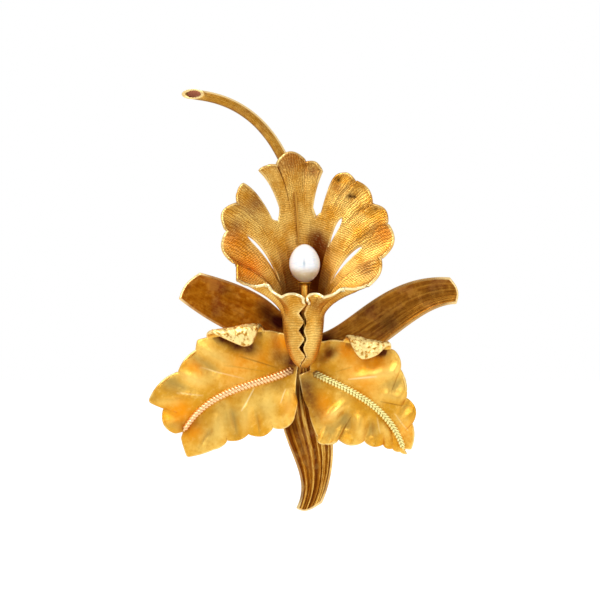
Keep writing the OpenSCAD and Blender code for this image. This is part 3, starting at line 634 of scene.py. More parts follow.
def makeLip(material):
    # Columns of ribs from one edge of the front seam over the top to the other. A cut is a pair of
    # columns that share their points outside it.
    last = len(lip["rows"]) - 1
    steps = last * lip["columnsPerLobe"]
    columns = [(k / lip["columnsPerLobe"], 0) for k in range(steps + 1)]
    for cut in lip["cuts"]:
        at = round(cut[0] * lip["columnsPerLobe"])
        columns[columns.index((at / lip["columnsPerLobe"], 0))] = (at / lip["columnsPerLobe"], -1)
        columns.append((at / lip["columnsPerLobe"] + 1e-6, 1))
    columns.sort()
    v = np.concatenate([np.linspace(-1, 0, lip["tubeSteps"], endpoint=False),
                        np.linspace(0, 1, lip["flareSteps"] + 1)])
    u = np.array([c[0] for c in columns])
    side = np.array([c[1] for c in columns], float)
    uu, vv = np.meshgrid(u, v, indexing="ij")
    ss = np.repeat(side[:, None], len(v), 1)
    grid = lipAt(uu, ss, vv)
    ids = np.arange(uu.size).reshape(uu.shape)
    keep = np.ones(len(u) - 1, bool)
    for i in np.flatnonzero(side[:-1] == -1):
        keep[i] = False
        cut = min(lip["cuts"], key=lambda c: abs(c[0] - u[i]))
        openHere = (v > cut[1] + 1e-6) & ((v < cut[2] - 1e-6) | (cut[4] == 1))
        ids[i + 1] = np.where(openHere, ids[i + 1], ids[i])
    quads = np.stack([ids[:-1, :-1], ids[1:, :-1], ids[1:, 1:], ids[:-1, 1:]], -1)[keep].reshape(-1, 4)
    used, quads = np.unique(quads, return_inverse=True)
    quads = quads.reshape(-1, 4)
    spots, uFlat, vFlat = grid.reshape(-1, 3)[used], uu.ravel()[used], vv.ravel()[used]
    f = uFlat - np.floor(uFlat)
    high = np.clip(vFlat, 0, 1)
    crease = (1 - np.sin(np.pi * f)) ** 2 * smooth(high, 0.35, 1.0)
    spots = spots - pointNormals(spots, quads) * (lip["crease"] * crease)[:, None]
    starts, ends = openEdges(quads, len(spots))
    away = rimDistance(spots, spots[np.unique(starts)])
    lift = lip["curl"] * np.exp(-away / 0.45) * smooth(high, 0.7, 0.95)
    spots = spots + pointNormals(spots, quads) * lift[:, None]
    x, z = spots[:, 0], spots[:, 2]
    theta = np.interp(uFlat, np.arange(last + 1), np.radians(lip["angles"]))
    reach = np.linalg.norm(lipRim(uFlat) - lipRib(uFlat, np.zeros_like(uFlat)), axis=1)
    length = np.where(vFlat < 0, vFlat * lip["tubeHeight"], high * reach)
    ray = np.zeros_like(x)
    for k in range(lip["rays"]):
        at = lip["firstRay"] + lip["raySpacing"] * k
        ray += np.exp(-((uFlat - at) / lip["rayWidth"]) ** 2)
    ray = ray * smooth(high, 0.1, 0.2) * (1 - smooth(high, 0.28, 0.42))
    relief = 0.03 * (cloud(spots, 0.5, 3) - 0.5) + 0.04 * ray
    relief = relief - 0.12 * blots(x, z, lip["pits"])
    # Painted shadow where the right middle lobe folds in front of the back wall
    fold = smooth(uFlat, 8.9, 10.2) * (1 - smooth(uFlat, 11.45, 11.6))
    fold = fold * smooth(high, 0.12, 0.24) * (1 - smooth(high, 0.34, 0.5))
    marks = {
        # Painted shade deep in the throat and in that fold's shadow
        "throat": np.clip(1 - smooth(vFlat, 0.0, 0.44) + 0.9 * fold, 0, 1),
        # Patina patches, two of them painted shadow, and painted shade along the creases
        "smoke": np.clip(blots(x, z, lip["dark"]) + 0.45 * crease * high, 0, 1),
        "orange": np.clip(blots(x, z, lip["orange"]), 0, 1),
        "pit": np.clip(blots(x, z, lip["pits"]), 0, 1),
        "ray": np.clip(ray, 0, 1),
        # Where the front rim's bead gets its painted highlight
        "front": smooth(np.abs(theta), 1.75, 2.05) * (vFlat > 0.7),
    }
    uv = np.stack([theta * lip["lineRadius"], length], 1)
    made = sheetMesh(spots, quads, lip["sheet"], marks, uv, relief, 0.01 * cloud(spots, 0.4, 8))
    return makePiece("lip_sheet", *made, material, "engraved_gold", ["lip"])


# ---- Petals
petals = {
    "columnsPerRow": 22, "acrossSteps": 60, "rollSteps": 44, "sheet": 0.45, "rollRadius": 0.85,
    "rollEdge": 0.12, "arch": 1.1, "wave": 0.7, "flute": 0.1, "endShare": 0.985, "granule": 0.32,
    "scoreWidth": 0.08, "scoreDepth": 0.05,
}
leftPetal = {
    "reach": 20.5, "drop": 14.3, "side": -1,
    "roll": [1.75, 3.75, 4.3],     # the first and last row that roll over, and the roll's length
    # Edge rows: [across, up, bulge], the first two as shares of reach and drop, as the rib's are
    "upper": [
        [-0.058, 0.06, 0.35], [-0.16, 0.15, 0.2], [-0.29, 0.165, 0.2], [-0.43, 0.14, 0.15],
        [-0.685, 0.085, 0.03], [-0.696, -0.01, 0.4], [-0.81, -0.215, 0.7], [-1, -0.48, 0.05],
        [-0.9, -0.54, 1.3], [-0.79, -0.775, 0],
    ],
    "lower": [
        [-0.05, -0.22, 0], [-0.058, -0.42, 0.3], [-0.06, -0.61, 0.9], [-0.2, -0.715, 0.2],
        [-0.265, -0.8, 0.2], [-0.36, -0.775, 0.5], [-0.5, -0.835, 0.3], [-0.585, -0.925, 0.15],
        [-0.755, -0.995, 0.2], [-0.79, -0.79, 0],
    ],
    "rib": [[-0.04, -0.16], [-0.27, -0.35], [-0.61, -0.31], [-0.79, -0.78]],
    # Scored veins: ends in mm, and 1 where pale or -1 where dark
    "veins": [
        [((-3.4, -2.4), (-8.6, -0.8)), -0.8], [((-8.0, -3.8), (-13.8, -2.4)), 0.5],
        [((-16.9, -5.8), (-13.5, -6.1)), 0.5], [((-6.6, -5.1), (-8.2, -8.1)), 1],
        [((-2.4, -5.3), (-3.1, -7.1)), 0.8], [((-4.9, -2.9), (-10.6, -2.0)), -0.3],
    ],
    # Folds: ends in mm, width, and how far they come forward (or go back)
    "folds": [
        ((-13.9, 0.7), (-9.8, -2.1), 0.75, 0.4), ((-15.2, -0.6), (-11.6, -3.0), 0.8, -0.35),
        ((-16.4, -3.1), (-13.4, -4.6), 0.7, 0.4), ((-18.6, -4.2), (-15.2, -5.6), 0.8, -0.35),
        ((-19.6, -6.8), (-16.6, -6.8), 0.6, 0.25), ((-13.8, -12.8), (-12.4, -10.6), 0.4, -0.3),
        ((-9.8, -7.4), (-8.9, -11.4), 0.5, -0.4), ((-7.6, -7.2), (-7.8, -10.6), 0.7, 0.3),
        ((-11.4, -8.4), (-11.2, -11.6), 0.8, 0.3), ((-6.4, -8.0), (-5.9, -10.8), 0.4, -0.25),
        ((-1.6, -5.2), (-2.2, -9.0), 0.6, 0.25), ((-2.6, -9.4), (-4.4, -10.0), 0.6, 0.12),
        ((-4.9, -6.4), (-4.6, -9.6), 0.8, 0.25),
    ],
    # Patches of patina and painted shade, each [x, z, radius, strength]: dark is painted shade along the
    # rib's lower side and under the roll, with some patina; orange is patina; olive is partly painted shade
    "dark": [
        (-1.4, -1.6, 1.3, 1.0), (-10.6, 1.6, 0.9, 0.8), (-9.0, 0.7, 1.0, 1.0), (-7.2, 0.4, 1.0, 1.0),
        (-3.4, -0.9, 1.3, 0.5), (-15.9, -10.4, 0.8, 0.6), (-14.6, -9.6, 1.0, 0.4),
        (-20.2, -6.2, 0.9, 0.3), (-3.6, -4.2, 1.2, 0.35),
    ],
    "orange": [
        (-2.6, 0.8, 1.6, 1.0), (-5.4, -1.2, 1.6, 0.6), (-8.4, -1.4, 1.6, 0.5), (-14.8, -2.6, 1.2, 0.8),
        (-16.4, -8.2, 1.6, 1.0), (-15.0, -10.6, 1.4, 0.9), (-9.5, -3.4, 2.4, 0.4),
        (-2.0, -7.6, 1.2, 0.5),
    ],
    "olive": [
        (-12.6, -2.2, 1.8, 0.7), (-17.6, -4.5, 1.6, 0.9), (-9.4, -9.0, 1.9, 0.9),
        (-12.6, -10.8, 1.9, 0.7), (-17.2, -10.0, 0.9, 0.7), (-5.2, -7.8, 1.5, 0.5),
    ],
}
rightPetal = {
    "reach": 15.0, "drop": 13.9, "side": 1, "roll": [2.45, 5.8, 4.1],
    "upper": [
        [0.08, 0.045, 0.1], [0.19, 0.07, 0.1], [0.3, 0.083, 0.05], [0.42, 0.06, 0.1],
        [0.55, 0.025, 0.1], [0.68, 0, 0.1], [0.8, -0.01, 0.4], [0.853, -0.187, 0.45],
        [0.905, -0.47, 0.9], [0.96, -0.705, 0.5], [0.93, -0.99, 0],
    ],
    "lower": [
        [-0.035, -0.245, 0], [0, -0.44, 0.05], [0.05, -0.56, 0.15], [0.13, -0.83, 0.5], [0.2, -0.9, 0.5],
        [0.305, -0.835, 0.9], [0.545, -0.86, 0.7], [0.72, -0.89, 0.4], [0.8, -0.94, 0.2], [0.87, -0.975, 0.1],
        [0.93, -0.995, 0],
    ],
    "rib": [[0.063, -0.2], [0.33, -0.36], [0.77, -0.49], [0.9, -0.97]],
    "veins": [
        [((6.1, -3.9), (9.8, -3.5)), 0.9], [((10.4, -6.9), (13.2, -7.4)), -0.8],
        [((4.4, -2.9), (6.5, -2.3)), -0.3], [((12.2, -8.5), (14.0, -10.8)), 0.45],
        [((9.9, -9.0), (10.3, -11.1)), 0.35],
    ],
    "folds": [
        ((7.2, -3.8), (12.9, -2.7), 0.75, 0.4), ((11.4, -4.9), (13.6, -4.7), 1.1, -0.2),
        ((11.0, -6.0), (14.0, -6.4), 0.7, 0.3), ((13.2, -7.7), (14.6, -7.9), 0.7, -0.15),
        ((3.2, -9.2), (6.1, -6.8), 0.55, 0.45), ((3.4, -11.4), (3.6, -10.0), 0.8, -0.2),
        ((5.6, -8.2), (5.6, -10.8), 0.8, -0.4), ((7.4, -8.6), (7.6, -11.6), 0.7, 0.3),
        ((9.1, -9.4), (9.3, -11.8), 0.6, -0.3), ((10.8, -9.8), (11.2, -12.0), 0.6, 0.25),
        ((4.6, -0.2), (3.6, -1.4), 0.6, 0.3), ((12.0, 0.2), (13.4, -1.2), 0.6, 0.3),
    ],
    # Dark here is painted shade: the purple band down the petal's left edge where it turns away, and under
    # the roll
    "dark": [(0.3, -4.6, 1.3, 0.8), (0.9, -6.6, 1.3, 0.7), (1.8, -8.6, 1.2, 0.5), (9.2, -0.2, 0.9, 1.0),
             (10.6, -0.1, 0.9, 1.0), (3.6, -0.3, 0.9, 0.8), (2.4, -1.2, 0.9, 0.5)],
    "orange": [(5.6, 0.0, 1.0, 1.0), (7.4, -2.0, 2.6, 0.6), (2.6, -7.0, 1.3, 0.8), (2.9, -8.8, 1.0, 0.6),
               (13.4, -11.0, 1.7, 0.5), (8.6, -5.4, 2.0, 0.4), (10.0, -1.4, 1.4, 0.8)],
    "olive": [(12.2, -4.9, 1.3, 1.0), (3.9, -10.6, 1.5, 0.8), (5.9, -9.4, 1.2, 1.0), (9.2, -10.6, 1.1, 0.8),
              (13.9, -8.0, 1.2, 0.6)],
}


def petalRib(petal, s):        # the petal's middle line, a cubic curve seen from the front
    return bezier(petal["rib"], s) * [petal["reach"], petal["drop"]]


def petalArch(s, t):           # the petal's depth before its waves
    return petalY - petals["arch"] * np.sin(np.radians(150 * s)) * (1 - 0.5 * t ** 2)


def petalSide(petal, rows, u, t, d, side):
    # From the rib (t 0) straight out to the scalloped edge (t 1), arched forwards, each lobe brought
    # forwards as far as it swells. Past the edge a flap of length d rolls over a half circle and back.
    scale = np.array([petal["reach"], petal["drop"], 1.0])
    rows = np.array(rows, float) * scale
    s = u / (len(rows) - 1)
    m = petalRib(petal, s)
    e = scallop(rows, u, side)
    out = unit(e - m)
    p = mix(m, e, t[..., None])
    k, f = rowAt(u, rows)
    swell = rows[k, 2] * np.sin(np.pi * f) ** 2
    flute = petals["flute"] * t ** 1.3 * np.sin(2 * np.pi * f) * np.minimum(rows[k, 2] * 2.5, 1)
    depth = petalArch(s, t) - petals["wave"] * swell * t ** 1.5 + flute
    r = petals["rollRadius"]
    a = np.minimum(d / r, np.pi)
    rest = np.maximum(d - np.pi * r, 0)
    beyond = r * np.sin(a) - rest
    forward = r * (1 - np.cos(a))
    p = p + out * beyond[..., None]
    return np.stack([p[..., 0], depth - forward, p[..., 1]], -1)


def makePetal(name, petal, node, material):
    # A grid whose columns run from the lower edge (w -1) over the rib (0) to the upper edge (1) and
    # on over the roll (2). Folds are added to the body, granules to the roll.
    count = len(petal["upper"]) - 1
    u = petals["endShare"] * np.linspace(0, count, count * petals["columnsPerRow"] + 1)
    n, m = petals["acrossSteps"], petals["rollSteps"]
    w = np.concatenate([np.linspace(-1, 0, n, endpoint=False), np.linspace(0, 1, n, endpoint=False),
                        np.linspace(1, 2, m)])
    uu, ww = np.meshgrid(u, w, indexing="ij")
    t = np.minimum(np.abs(ww), 1)
    first, end, length = petal["roll"]
    inRoll = np.clip((uu - first) / (end - first), 0, 1)
    flapLength = petals["rollEdge"] + length * np.sin(np.pi * inRoll) ** 0.8
    d = flapLength * np.clip(ww - 1, 0, None)
    upper = petalSide(petal, petal["upper"], uu, t, d, petal["side"])
    lower = petalSide(petal, petal["lower"], uu, t, np.zeros_like(d), -petal["side"])
    spots = np.where((ww < 0)[..., None], lower, upper).reshape(-1, 3)
    quads = facingFront(spots, gridQuads(len(u), len(w)))
    x, z, flat = spots[:, 0], spots[:, 2], ww.ravel()
    onFlap = smooth(d.ravel(), 0.5, 1.4)
    body = flat <= 1.0
    rolls = flapLength.ravel() > 1.2
    score = petals["scoreWidth"]
    vein = sum(v * nearSegment(x, z, ends, score) for ends, v in petal["veins"]) * body
    clear = smooth(np.abs(flat), 0.08, 0.4) * body * (1 - smooth(flat, 0.75, 1.0) * rolls)
    fold = sum(lift * nearSegment(x, z, (a, b), width) for a, b, width, lift in petal["folds"]) * clear
    spots = spots - [0, 1, 0] * fold[:, None]
    ripple = 0.05 * (cloud(spots, 1.6, 5) - 0.5) + 0.018 * (cloud(spots, 0.5, 6) - 0.5)
    granule = 1 - np.clip(grains(spots, petals["granule"], 7) / 0.75, 0, 1)
    under = onFlap * (0.16 * granule ** 0.7 + 0.05 * cloud(spots, 0.25, 9)) + 0.02 * cloud(spots, 0.6, 4)
    # Painted shadow under the rolled flap, painted shade in recesses and between the granules, over patina
    # patches
    shadowUnderRoll = smooth(flat, 0.8, 1.0) * rolls
    smoke = blots(x, z, petal["dark"]) * body + 0.5 * shadowUnderRoll * body + onFlap * (granule < 0.12) * 0.6
    marks = {
        "vein": np.clip(vein, -1, 1),
        "roll": onFlap,
        "sheen": np.clip(fold / 0.4, -1, 1),
        "smoke": np.clip(smoke, 0, 1),
        "orange": np.clip(blots(x, z, petal["orange"]) * body, 0, 1),
        "olive": np.clip(blots(x, z, petal["olive"]) * body, 0, 1),
    }
    uv = np.stack([x, z], 1)
    relief = ripple - petals["scoreDepth"] * np.abs(vein)
    made = sheetMesh(spots, quads, petals["sheet"], marks, uv, relief, under)
    return makePiece(name, *made, material, "petal_gold", [node])


# ---- Midribs: wires that lie on the petals
midribs = {"radius": 0.55, "from": 0.03, "to": 0.985, "rings": 560, "sides": 28, "gap": 0.1,
           "pitch": 0.46, "beadDepth": 0.28, "endShare": 0.35}


def midribPath(petal, thin):
    # Along the petal's rib, a gap in front of the sheet. The radius shrinks to the share thin, with
    # the cube of the way along.
    s = np.linspace(midribs["from"], midribs["to"], midribs["rings"])
    radius = midribs["radius"] * mix(1, thin, s ** 3)
    flat = petalRib(petal, s)
    y = petalArch(s, 0 * s) - petals["sheet"] / 2 - radius - midribs["gap"]
    path = np.stack([flat[:, 0], y, flat[:, 1]], 1)
    way = unit(np.gradient(path, axis=0))
    return path, way, radius, runAlong(path)


def makeMidrib(name, petal, thin, pattern, material, slot, node):
    # A wire whose radius swells in beads: height = pattern(run, angle), from 0 to 1
    path, way, radius, run = midribPath(petal, thin)
    ends = smooth(run, 0, 0.4) * smooth(run[-1] - run, 0, 0.4)
    a = np.linspace(0, 2 * np.pi, midribs["sides"], endpoint=False)
    height = pattern(run[:, None], a[None])
    beaded = 1 - midribs["beadDepth"] * (1 - height)
    radius = radius[:, None] * beaded * mix(midribs["endShare"], 1, ends[:, None])
    rings, a = ringsAlong(path, way, radius, midribs["sides"])
    # Painted shade over the wire's first 2 mm from the hub
    dark = np.repeat((1 - smooth(run, 0.2, 2.2))[:, None], midribs["sides"], 1)
    spots, faces, marks = tubeMesh(rings, {"ridge": height, "smoke": 0.6 * dark})
    return makePiece(name, spots, faces, marks, None, material, slot, [node])


def slantedBeads(run, a):      # one row of beads that lean along the wire
    return np.abs(np.sin(np.pi * (run / midribs["pitch"] + 0.5 * np.sin(a)))) ** 0.6


def herringbone(run, a):       # long slanted bars on the upper side, round beads on the lower
    upper = smooth(np.sin(a), -0.25, -0.1)
    bars = np.abs(np.sin(np.pi * (run / midribs["pitch"] - 1.1 * np.sin(a)))) ** 0.8
    beads = np.abs(np.sin(np.pi * (run / midribs["pitch"] + 0.4 * np.sin(a)))) ** 0.6
    groove = 1 - np.exp(-((np.sin(a) + 0.18) / 0.12) ** 2)
    return mix(beads, bars, upper) * (0.35 + 0.65 * groove)


# ---- Sepals
sepals = {"along": 190, "across": 84, "sheet": 0.45, "flatShare": 0.25}
leftReach, rightReach, rise, lowerDrop = 16.6, 20.8, 10.0, 21.2
leftSepal = {
    # Control points of the two long edges, then how far the end swells, the hollow across, the bow
    # back, and the height and spacing of the ridges
    "edges": (
        [[-1.1, 1.9], [-0.19 * leftReach, 0.7 * rise], [-0.5 * leftReach, 0.88 * rise],
         [-0.835 * leftReach, 1.03 * rise]],
        [[-1.6, 0.6], [-0.3 * leftReach, 0.02 * rise], [-0.66 * leftReach, 0.24 * rise],
         [-leftReach, 0.69 * rise]],
    ),
    "bulge": 0.5, "cup": 0.35, "bow": 0.6, "ridge": 0.012, "ridgeSize": 0.2,
    "dark": [(-3.0, 3.6, 1.0, 1.0), (-4.4, 4.4, 1.5, 0.7), (-5.4, 5.6, 1.2, 0.5), (-10.2, 8.0, 1.1, 0.4),
             (-12.0, 4.6, 1.6, 0.2)],
}
rightSepal = {
    "edges": (
        [[1.1, 1.9], [0.29 * rightReach, 0.22 * rise], [0.49 * rightReach, 1.03 * rise],
         [0.945 * rightReach, 0.965 * rise]],
        [[1.6, 0.6], [0.35 * rightReach, -0.62 * rise], [0.66 * rightReach, 0.62 * rise],
         [0.985 * rightReach, 0.63 * rise]],
    ),
    "bulge": 0.6, "cup": 0.35, "bow": 0.6, "ridge": 0.014, "ridgeSize": 0.2,
    "dark": [(3.0, 1.4, 1.6, 0.9), (9.0, 6.4, 1.5, 0.5), (11.4, 3.6, 1.4, 0.6), (7.6, 5.2, 1.2, 0.35),
             (17.6, 8.0, 1.6, 0.3)],
}
lowerSepal = {
    "edges": (
        [[-0.8, -0.07 * lowerDrop], [-7, -0.48 * lowerDrop], [2.3, -0.72 * lowerDrop], [-0.8, -lowerDrop]],
        [[0.7, -0.07 * lowerDrop], [4.2, -0.38 * lowerDrop], [4.9, -0.7 * lowerDrop],
         [2.4, -0.965 * lowerDrop]],
    ),
    "bulge": 0.7, "cup": 0.4, "bow": 0.5, "ridge": 0.06, "ridgeSize": 0.24,
    "dark": [(-0.8, -5.4, 2.2, 0.9), (-1.4, -10.0, 1.2, 0.6), (1.9, -9.5, 1.0, 0.5)],
}


def makeSepal(name, sepal, node, material):
    # A strap between two cubic edges with a rounded end. It is cupped across, bows back along its
    # length, and carries ridges that run with it: noise that is long one way and short the other.
    s = np.linspace(0, 1, sepals["along"] + 1)
    t = np.linspace(0, 1, sepals["across"] + 1)
    ss, tt = np.meshgrid(s, t, indexing="ij")
    a, b = (bezier(edge, ss) for edge in sepal["edges"])
    tipWay = unit(sum(bezier(edge, np.array(1.0)) - bezier(edge, np.array(0.97)) for edge in sepal["edges"]))
    p = mix(a, b, tt[..., None]) + (sepal["bulge"] * ss ** 6 * np.sin(np.pi * tt))[..., None] * tipWay
    clear = np.clip(ss - sepals["flatShare"], 0, sepals["flatShare"]) / sepals["flatShare"]
    y = sepalY + sepal["cup"] * clear * (1 - (2 * tt - 1) ** 2) + sepal["bow"] * ss ** 3
    spots = np.stack([p[..., 0], y, p[..., 1]], -1).reshape(-1, 3)
    quads = facingFront(spots, gridQuads(len(s), len(t)))
    width = np.linalg.norm(b - a, axis=-1)
    run = runAlong(p[:, len(t) // 2])
    across = ((tt - 0.5) * width.mean()).ravel()
    along = np.repeat(run, len(t))
    zero = np.zeros_like(across)
    size = sepal["ridgeSize"]
    ridge = cloud(np.stack([across / size, along / 9.0, zero], 1), 1.0, 2)
    ridge = 0.65 * ridge + 0.35 * cloud(np.stack([across / size * 2.1, along / 5.0, zero], 1), 1.0, 4)
    ridge = smooth(ridge, 0.2, 0.8)
    x, z = spots[:, 0], spots[:, 2]
    # Dark patches: painted shade near the base, where the sepal runs under the petals, and patina further out
    marks = {"ridge": ridge, "smoke": np.clip(blots(x, z, sepal["dark"]), 0, 1),
             "tip": smooth(ss.ravel(), 0.9, 1.0)}
    edge = np.minimum(tt, 1 - tt).ravel() * width.mean()
    turned = 0.12 * np.exp(-(edge / 0.22) ** 2) + 0.1 * smooth(ss.ravel(), 0.955, 1.0)
    relief = sepal["ridge"] * (ridge - 0.5) * 2 * smooth(ss.ravel(), 0.0, 0.1) + turned
    uv = np.stack([across, along], 1)
    made = sheetMesh(spots, quads, sepals["sheet"], marks, uv, relief, 0.015 * cloud(spots, 0.5, 3))
    return makePiece(name, *made, material, "sepal_gold", [node])


# ---- Stem
stem = {"top": 34.4, "reach": 16.4, "radius": 0.85, "endRadius": 0.68, "wall": 0.2, "slant": 2.2,
        "mouthStart": 0.13, "recess": 0.5, "lines": 30, "lineDepth": 0.018, "sides": 120, "rings": 150,
        "plugSides": 48, "plugLumps": 0.03}


def stemCurve(t):
    # From the tip (t 0) along a cubic bend (to t 1), then straight down to the disc (t 2)
    y = (corners("stem")[0][1] + corners("stem")[1][1]) / 2
    reach, top = stem["reach"], stem["top"]
    bend = [[-reach, y, top], [-0.48 * reach, y, top], [-0.105 * reach, y, 0.85 * top], [0.3, y, 0.44 * top]]
    foot = np.array([0, y, discHigh[2] + sheetGap["solder"]])
    straight = mix(np.array(bend[3], float), foot, np.clip(t - 1, 0, 1)[..., None])
    return np.where((t <= 1)[..., None], bezier(bend, np.clip(t, 0, 1)), straight)


def makeStem(material, endMaterial):
    # A tapering tube with fine lines along it. Its end is cut aslant: the last rings lean, step in
    # over a rounded rim and go down into the recess.
    t = np.linspace(2, stem["mouthStart"], stem["rings"])
    way = unit(stemCurve(np.maximum(t - 0.01, 0)) - stemCurve(np.minimum(t + 0.01, 2)))
    path = stemCurve(t)
    radius = mix(stem["endRadius"], stem["radius"], t / 2)
    endWay = unit(stemCurve(np.array([0.0])) - stemCurve(np.array([0.01])))
    end = stemCurve(np.array([0.0])) - endWay * stem["slant"] * stem["endRadius"]
    inner = stem["endRadius"] - stem["wall"]
    mouth = [
        [stem["endRadius"], -0.12], [stem["endRadius"], -0.05], [stem["endRadius"] - 0.03, -0.01],
        [stem["endRadius"] - 0.09, 0.0], [inner + 0.04, -0.01], [inner, -0.06], [inner - 0.02, -0.25],
        [inner - 0.03, -stem["recess"]],
    ]
    mouthPath = np.concatenate([end + endWay * m[1] for m in mouth])
    path = np.concatenate([path, mouthPath])
    way = np.concatenate([way, np.repeat(endWay, len(mouth), 0)])
    radius = np.concatenate([radius, [m[0] for m in mouth]])
    slant = np.concatenate([np.zeros(len(t)), np.full(len(mouth), stem["slant"])])
    a = np.linspace(0, 2 * np.pi, stem["sides"], endpoint=False)
    line = 0.5 + 0.5 * np.sin(stem["lines"] * a)
    onTube = np.concatenate([np.ones(len(t)), np.zeros(len(mouth))])
    ridge = onTube[:, None] * line[None]
    rings, a = ringsAlong(path, way, radius[:, None] - stem["lineDepth"] * ridge, stem["sides"], slant)
    # The mouth's rim is given a low away, so it gets a painted highlight
    edge = np.concatenate([np.ones(len(t)), [0.3, 0.1, 0, 0, 0, 0.1, 0.5, 1]])
    # Painted shade where the stem runs down behind the lip and down into the recess
    smoke = np.concatenate([0.5 * smooth(t, 0.95, 1.3), [0, 0, 0, 0, 0.2, 0.5, 0.8, 0.9]])
    # The outer side of the bend gets a painted highlight along its length, the inner side painted shade
    outward = np.stack([way[:, 2], 0 * way[:, 0], -way[:, 0]], 1)
    facing = ((rings - path[:, None]) * outward[:, None]).sum(2) / radius[:, None]
    paintedHighlightSide = smooth(facing, 0.42, 0.72)
    marks = {"ridge": 1 - ridge, "away": edge[:, None] * (1 - 0.97 * paintedHighlightSide), "tip": 0 * ridge + 1,
             "smoke": smoke[:, None] + 0.3 * smooth(-facing, 0.6, 0.9)}
    spots, faces, marks = tubeMesh(rings, marks)
    uv = np.stack([np.tile(a * stem["radius"], len(path)), np.repeat(runAlong(path), stem["sides"])], 1)
    uv = np.concatenate([uv, uv[:1], uv[-1:]])
    makePiece("stem_tube", spots, faces, marks, uv, material, "stem_gold", ["stem"])
    plug = [[inner - 0.05, -0.45], [inner - 0.045, -0.22], [inner - 0.08, -0.16], [inner - 0.2, -0.13],
            [0.12, -0.12]]
    plugPath = np.concatenate([end + endWay * m[1] for m in plug])
    plugRadius = np.array([m[0] for m in plug])[:, None] * np.ones(stem["plugSides"])
    rings, a = ringsAlong(plugPath, np.repeat(endWay, len(plug), 0), plugRadius, stem["plugSides"],
                          np.full(len(plug), stem["slant"]))
    lumps = cloud(rings.reshape(-1, 3), 0.25, 2).reshape(rings.shape[:2]) - 0.5
    rings = rings + stem["plugLumps"] * lumps[..., None] * endWay
    spots, faces, marks = tubeMesh(rings)
    makePiece("stem_end", spots, faces, marks, None, endMaterial, "stem_end", ["stem_plug"])


# ---- Pearl, cup and post
pearl = {"rings": 90, "sides": 120, "taper": 0.05, "lumps": 0.07, "fineLumps": 0.015, "full": 0.035,
         "nub": 0.05, "fullWay": [0.8, -0.2, -0.5], "nubWay": [0.55, -0.35, -0.8]}
post = {"sides": 64, "flutes": 6, "fluteDepth": 0.07, "cupSides": 72}


def makePearl(material):
    # A turned egg: width follows cos(latitude) (1 - taper sin latitude), with soft lumps, a fuller
    # lower right and one small nub
    centre, half = (pearlLow + pearlHigh) / 2, (pearlHigh - pearlLow) / 2
    lat = np.radians(np.linspace(-89, 89, pearl["rings"]))
    lon = np.linspace(0, 2 * np.pi, pearl["sides"], endpoint=False)
    la, lo = np.meshgrid(lat, lon, indexing="ij")
    wide = np.cos(la) * (1 - pearl["taper"] * np.sin(la))
    shape = np.stack([wide * np.cos(lo), wide * np.sin(lo), np.sin(la)], -1)
    flat = shape.reshape(-1, 3)
    lump = pearl["lumps"] * (cloud(flat, 0.8, 4) - 0.5) + pearl["fineLumps"] * (cloud(flat, 0.35, 5) - 0.5)
    full = pearl["full"] * np.clip(flat @ unit(np.array(pearl["fullWay"])), 0, 1) ** 2
    nub = pearl["nub"] * np.exp(-((flat - unit(np.array(pearl["nubWay"]))) ** 2).sum(1) / 0.004)
    grown = (flat * (0.985 + lump + full + nub)[:, None]).reshape(shape.shape)
    rings = centre + grown * half
    x, y, z = shape[..., 0], shape[..., 1], shape[..., 2]
    foot = smooth(-z, 0.15, 0.6)
    blush = smooth(np.hypot(x, z), 0.85, 1.0) * smooth(-z, -0.2, 0.6)
    # A painted reflection: a grey-blue upright streak in the middle of the front
    paintedReflection = np.exp(-((x + 0.02) / 0.07) ** 2 - ((z + 0.02) / 0.2) ** 2) * (y < 0)
    spots, faces, marks = tubeMesh(rings, {"foot": foot, "blush": blush, "paintedReflection": paintedReflection})
    faces = [part[:, ::-1] for part in faces]
    makePiece("pearl_body", spots, faces, marks, None, material, "pearl", ["pearl"])


def turnedPiece(name, profile, centre, sides, material, slot, nodes, ripple=None):
    # A profile of [radius, height] turned about a vertical axis
    a = np.linspace(0, 2 * np.pi, sides, endpoint=False)
    profile = np.array(profile, float)
    radius = profile[:, :1] * np.ones(sides)
    if ripple is not None:
        radius = radius * ripple(profile[:, 1:], a[None])
    rings = np.stack([centre[0] + radius * np.cos(a), centre[1] + radius * np.sin(a),
                      profile[:, 1:] * np.ones(sides)], -1)
    spots, faces, marks = tubeMesh(rings, {"ridge": np.ones_like(radius), "smoke": np.zeros_like(radius)})
    faces = [part[:, ::-1] for part in faces]
    return makePiece(name, spots, faces, marks, None, material, slot, nodes)


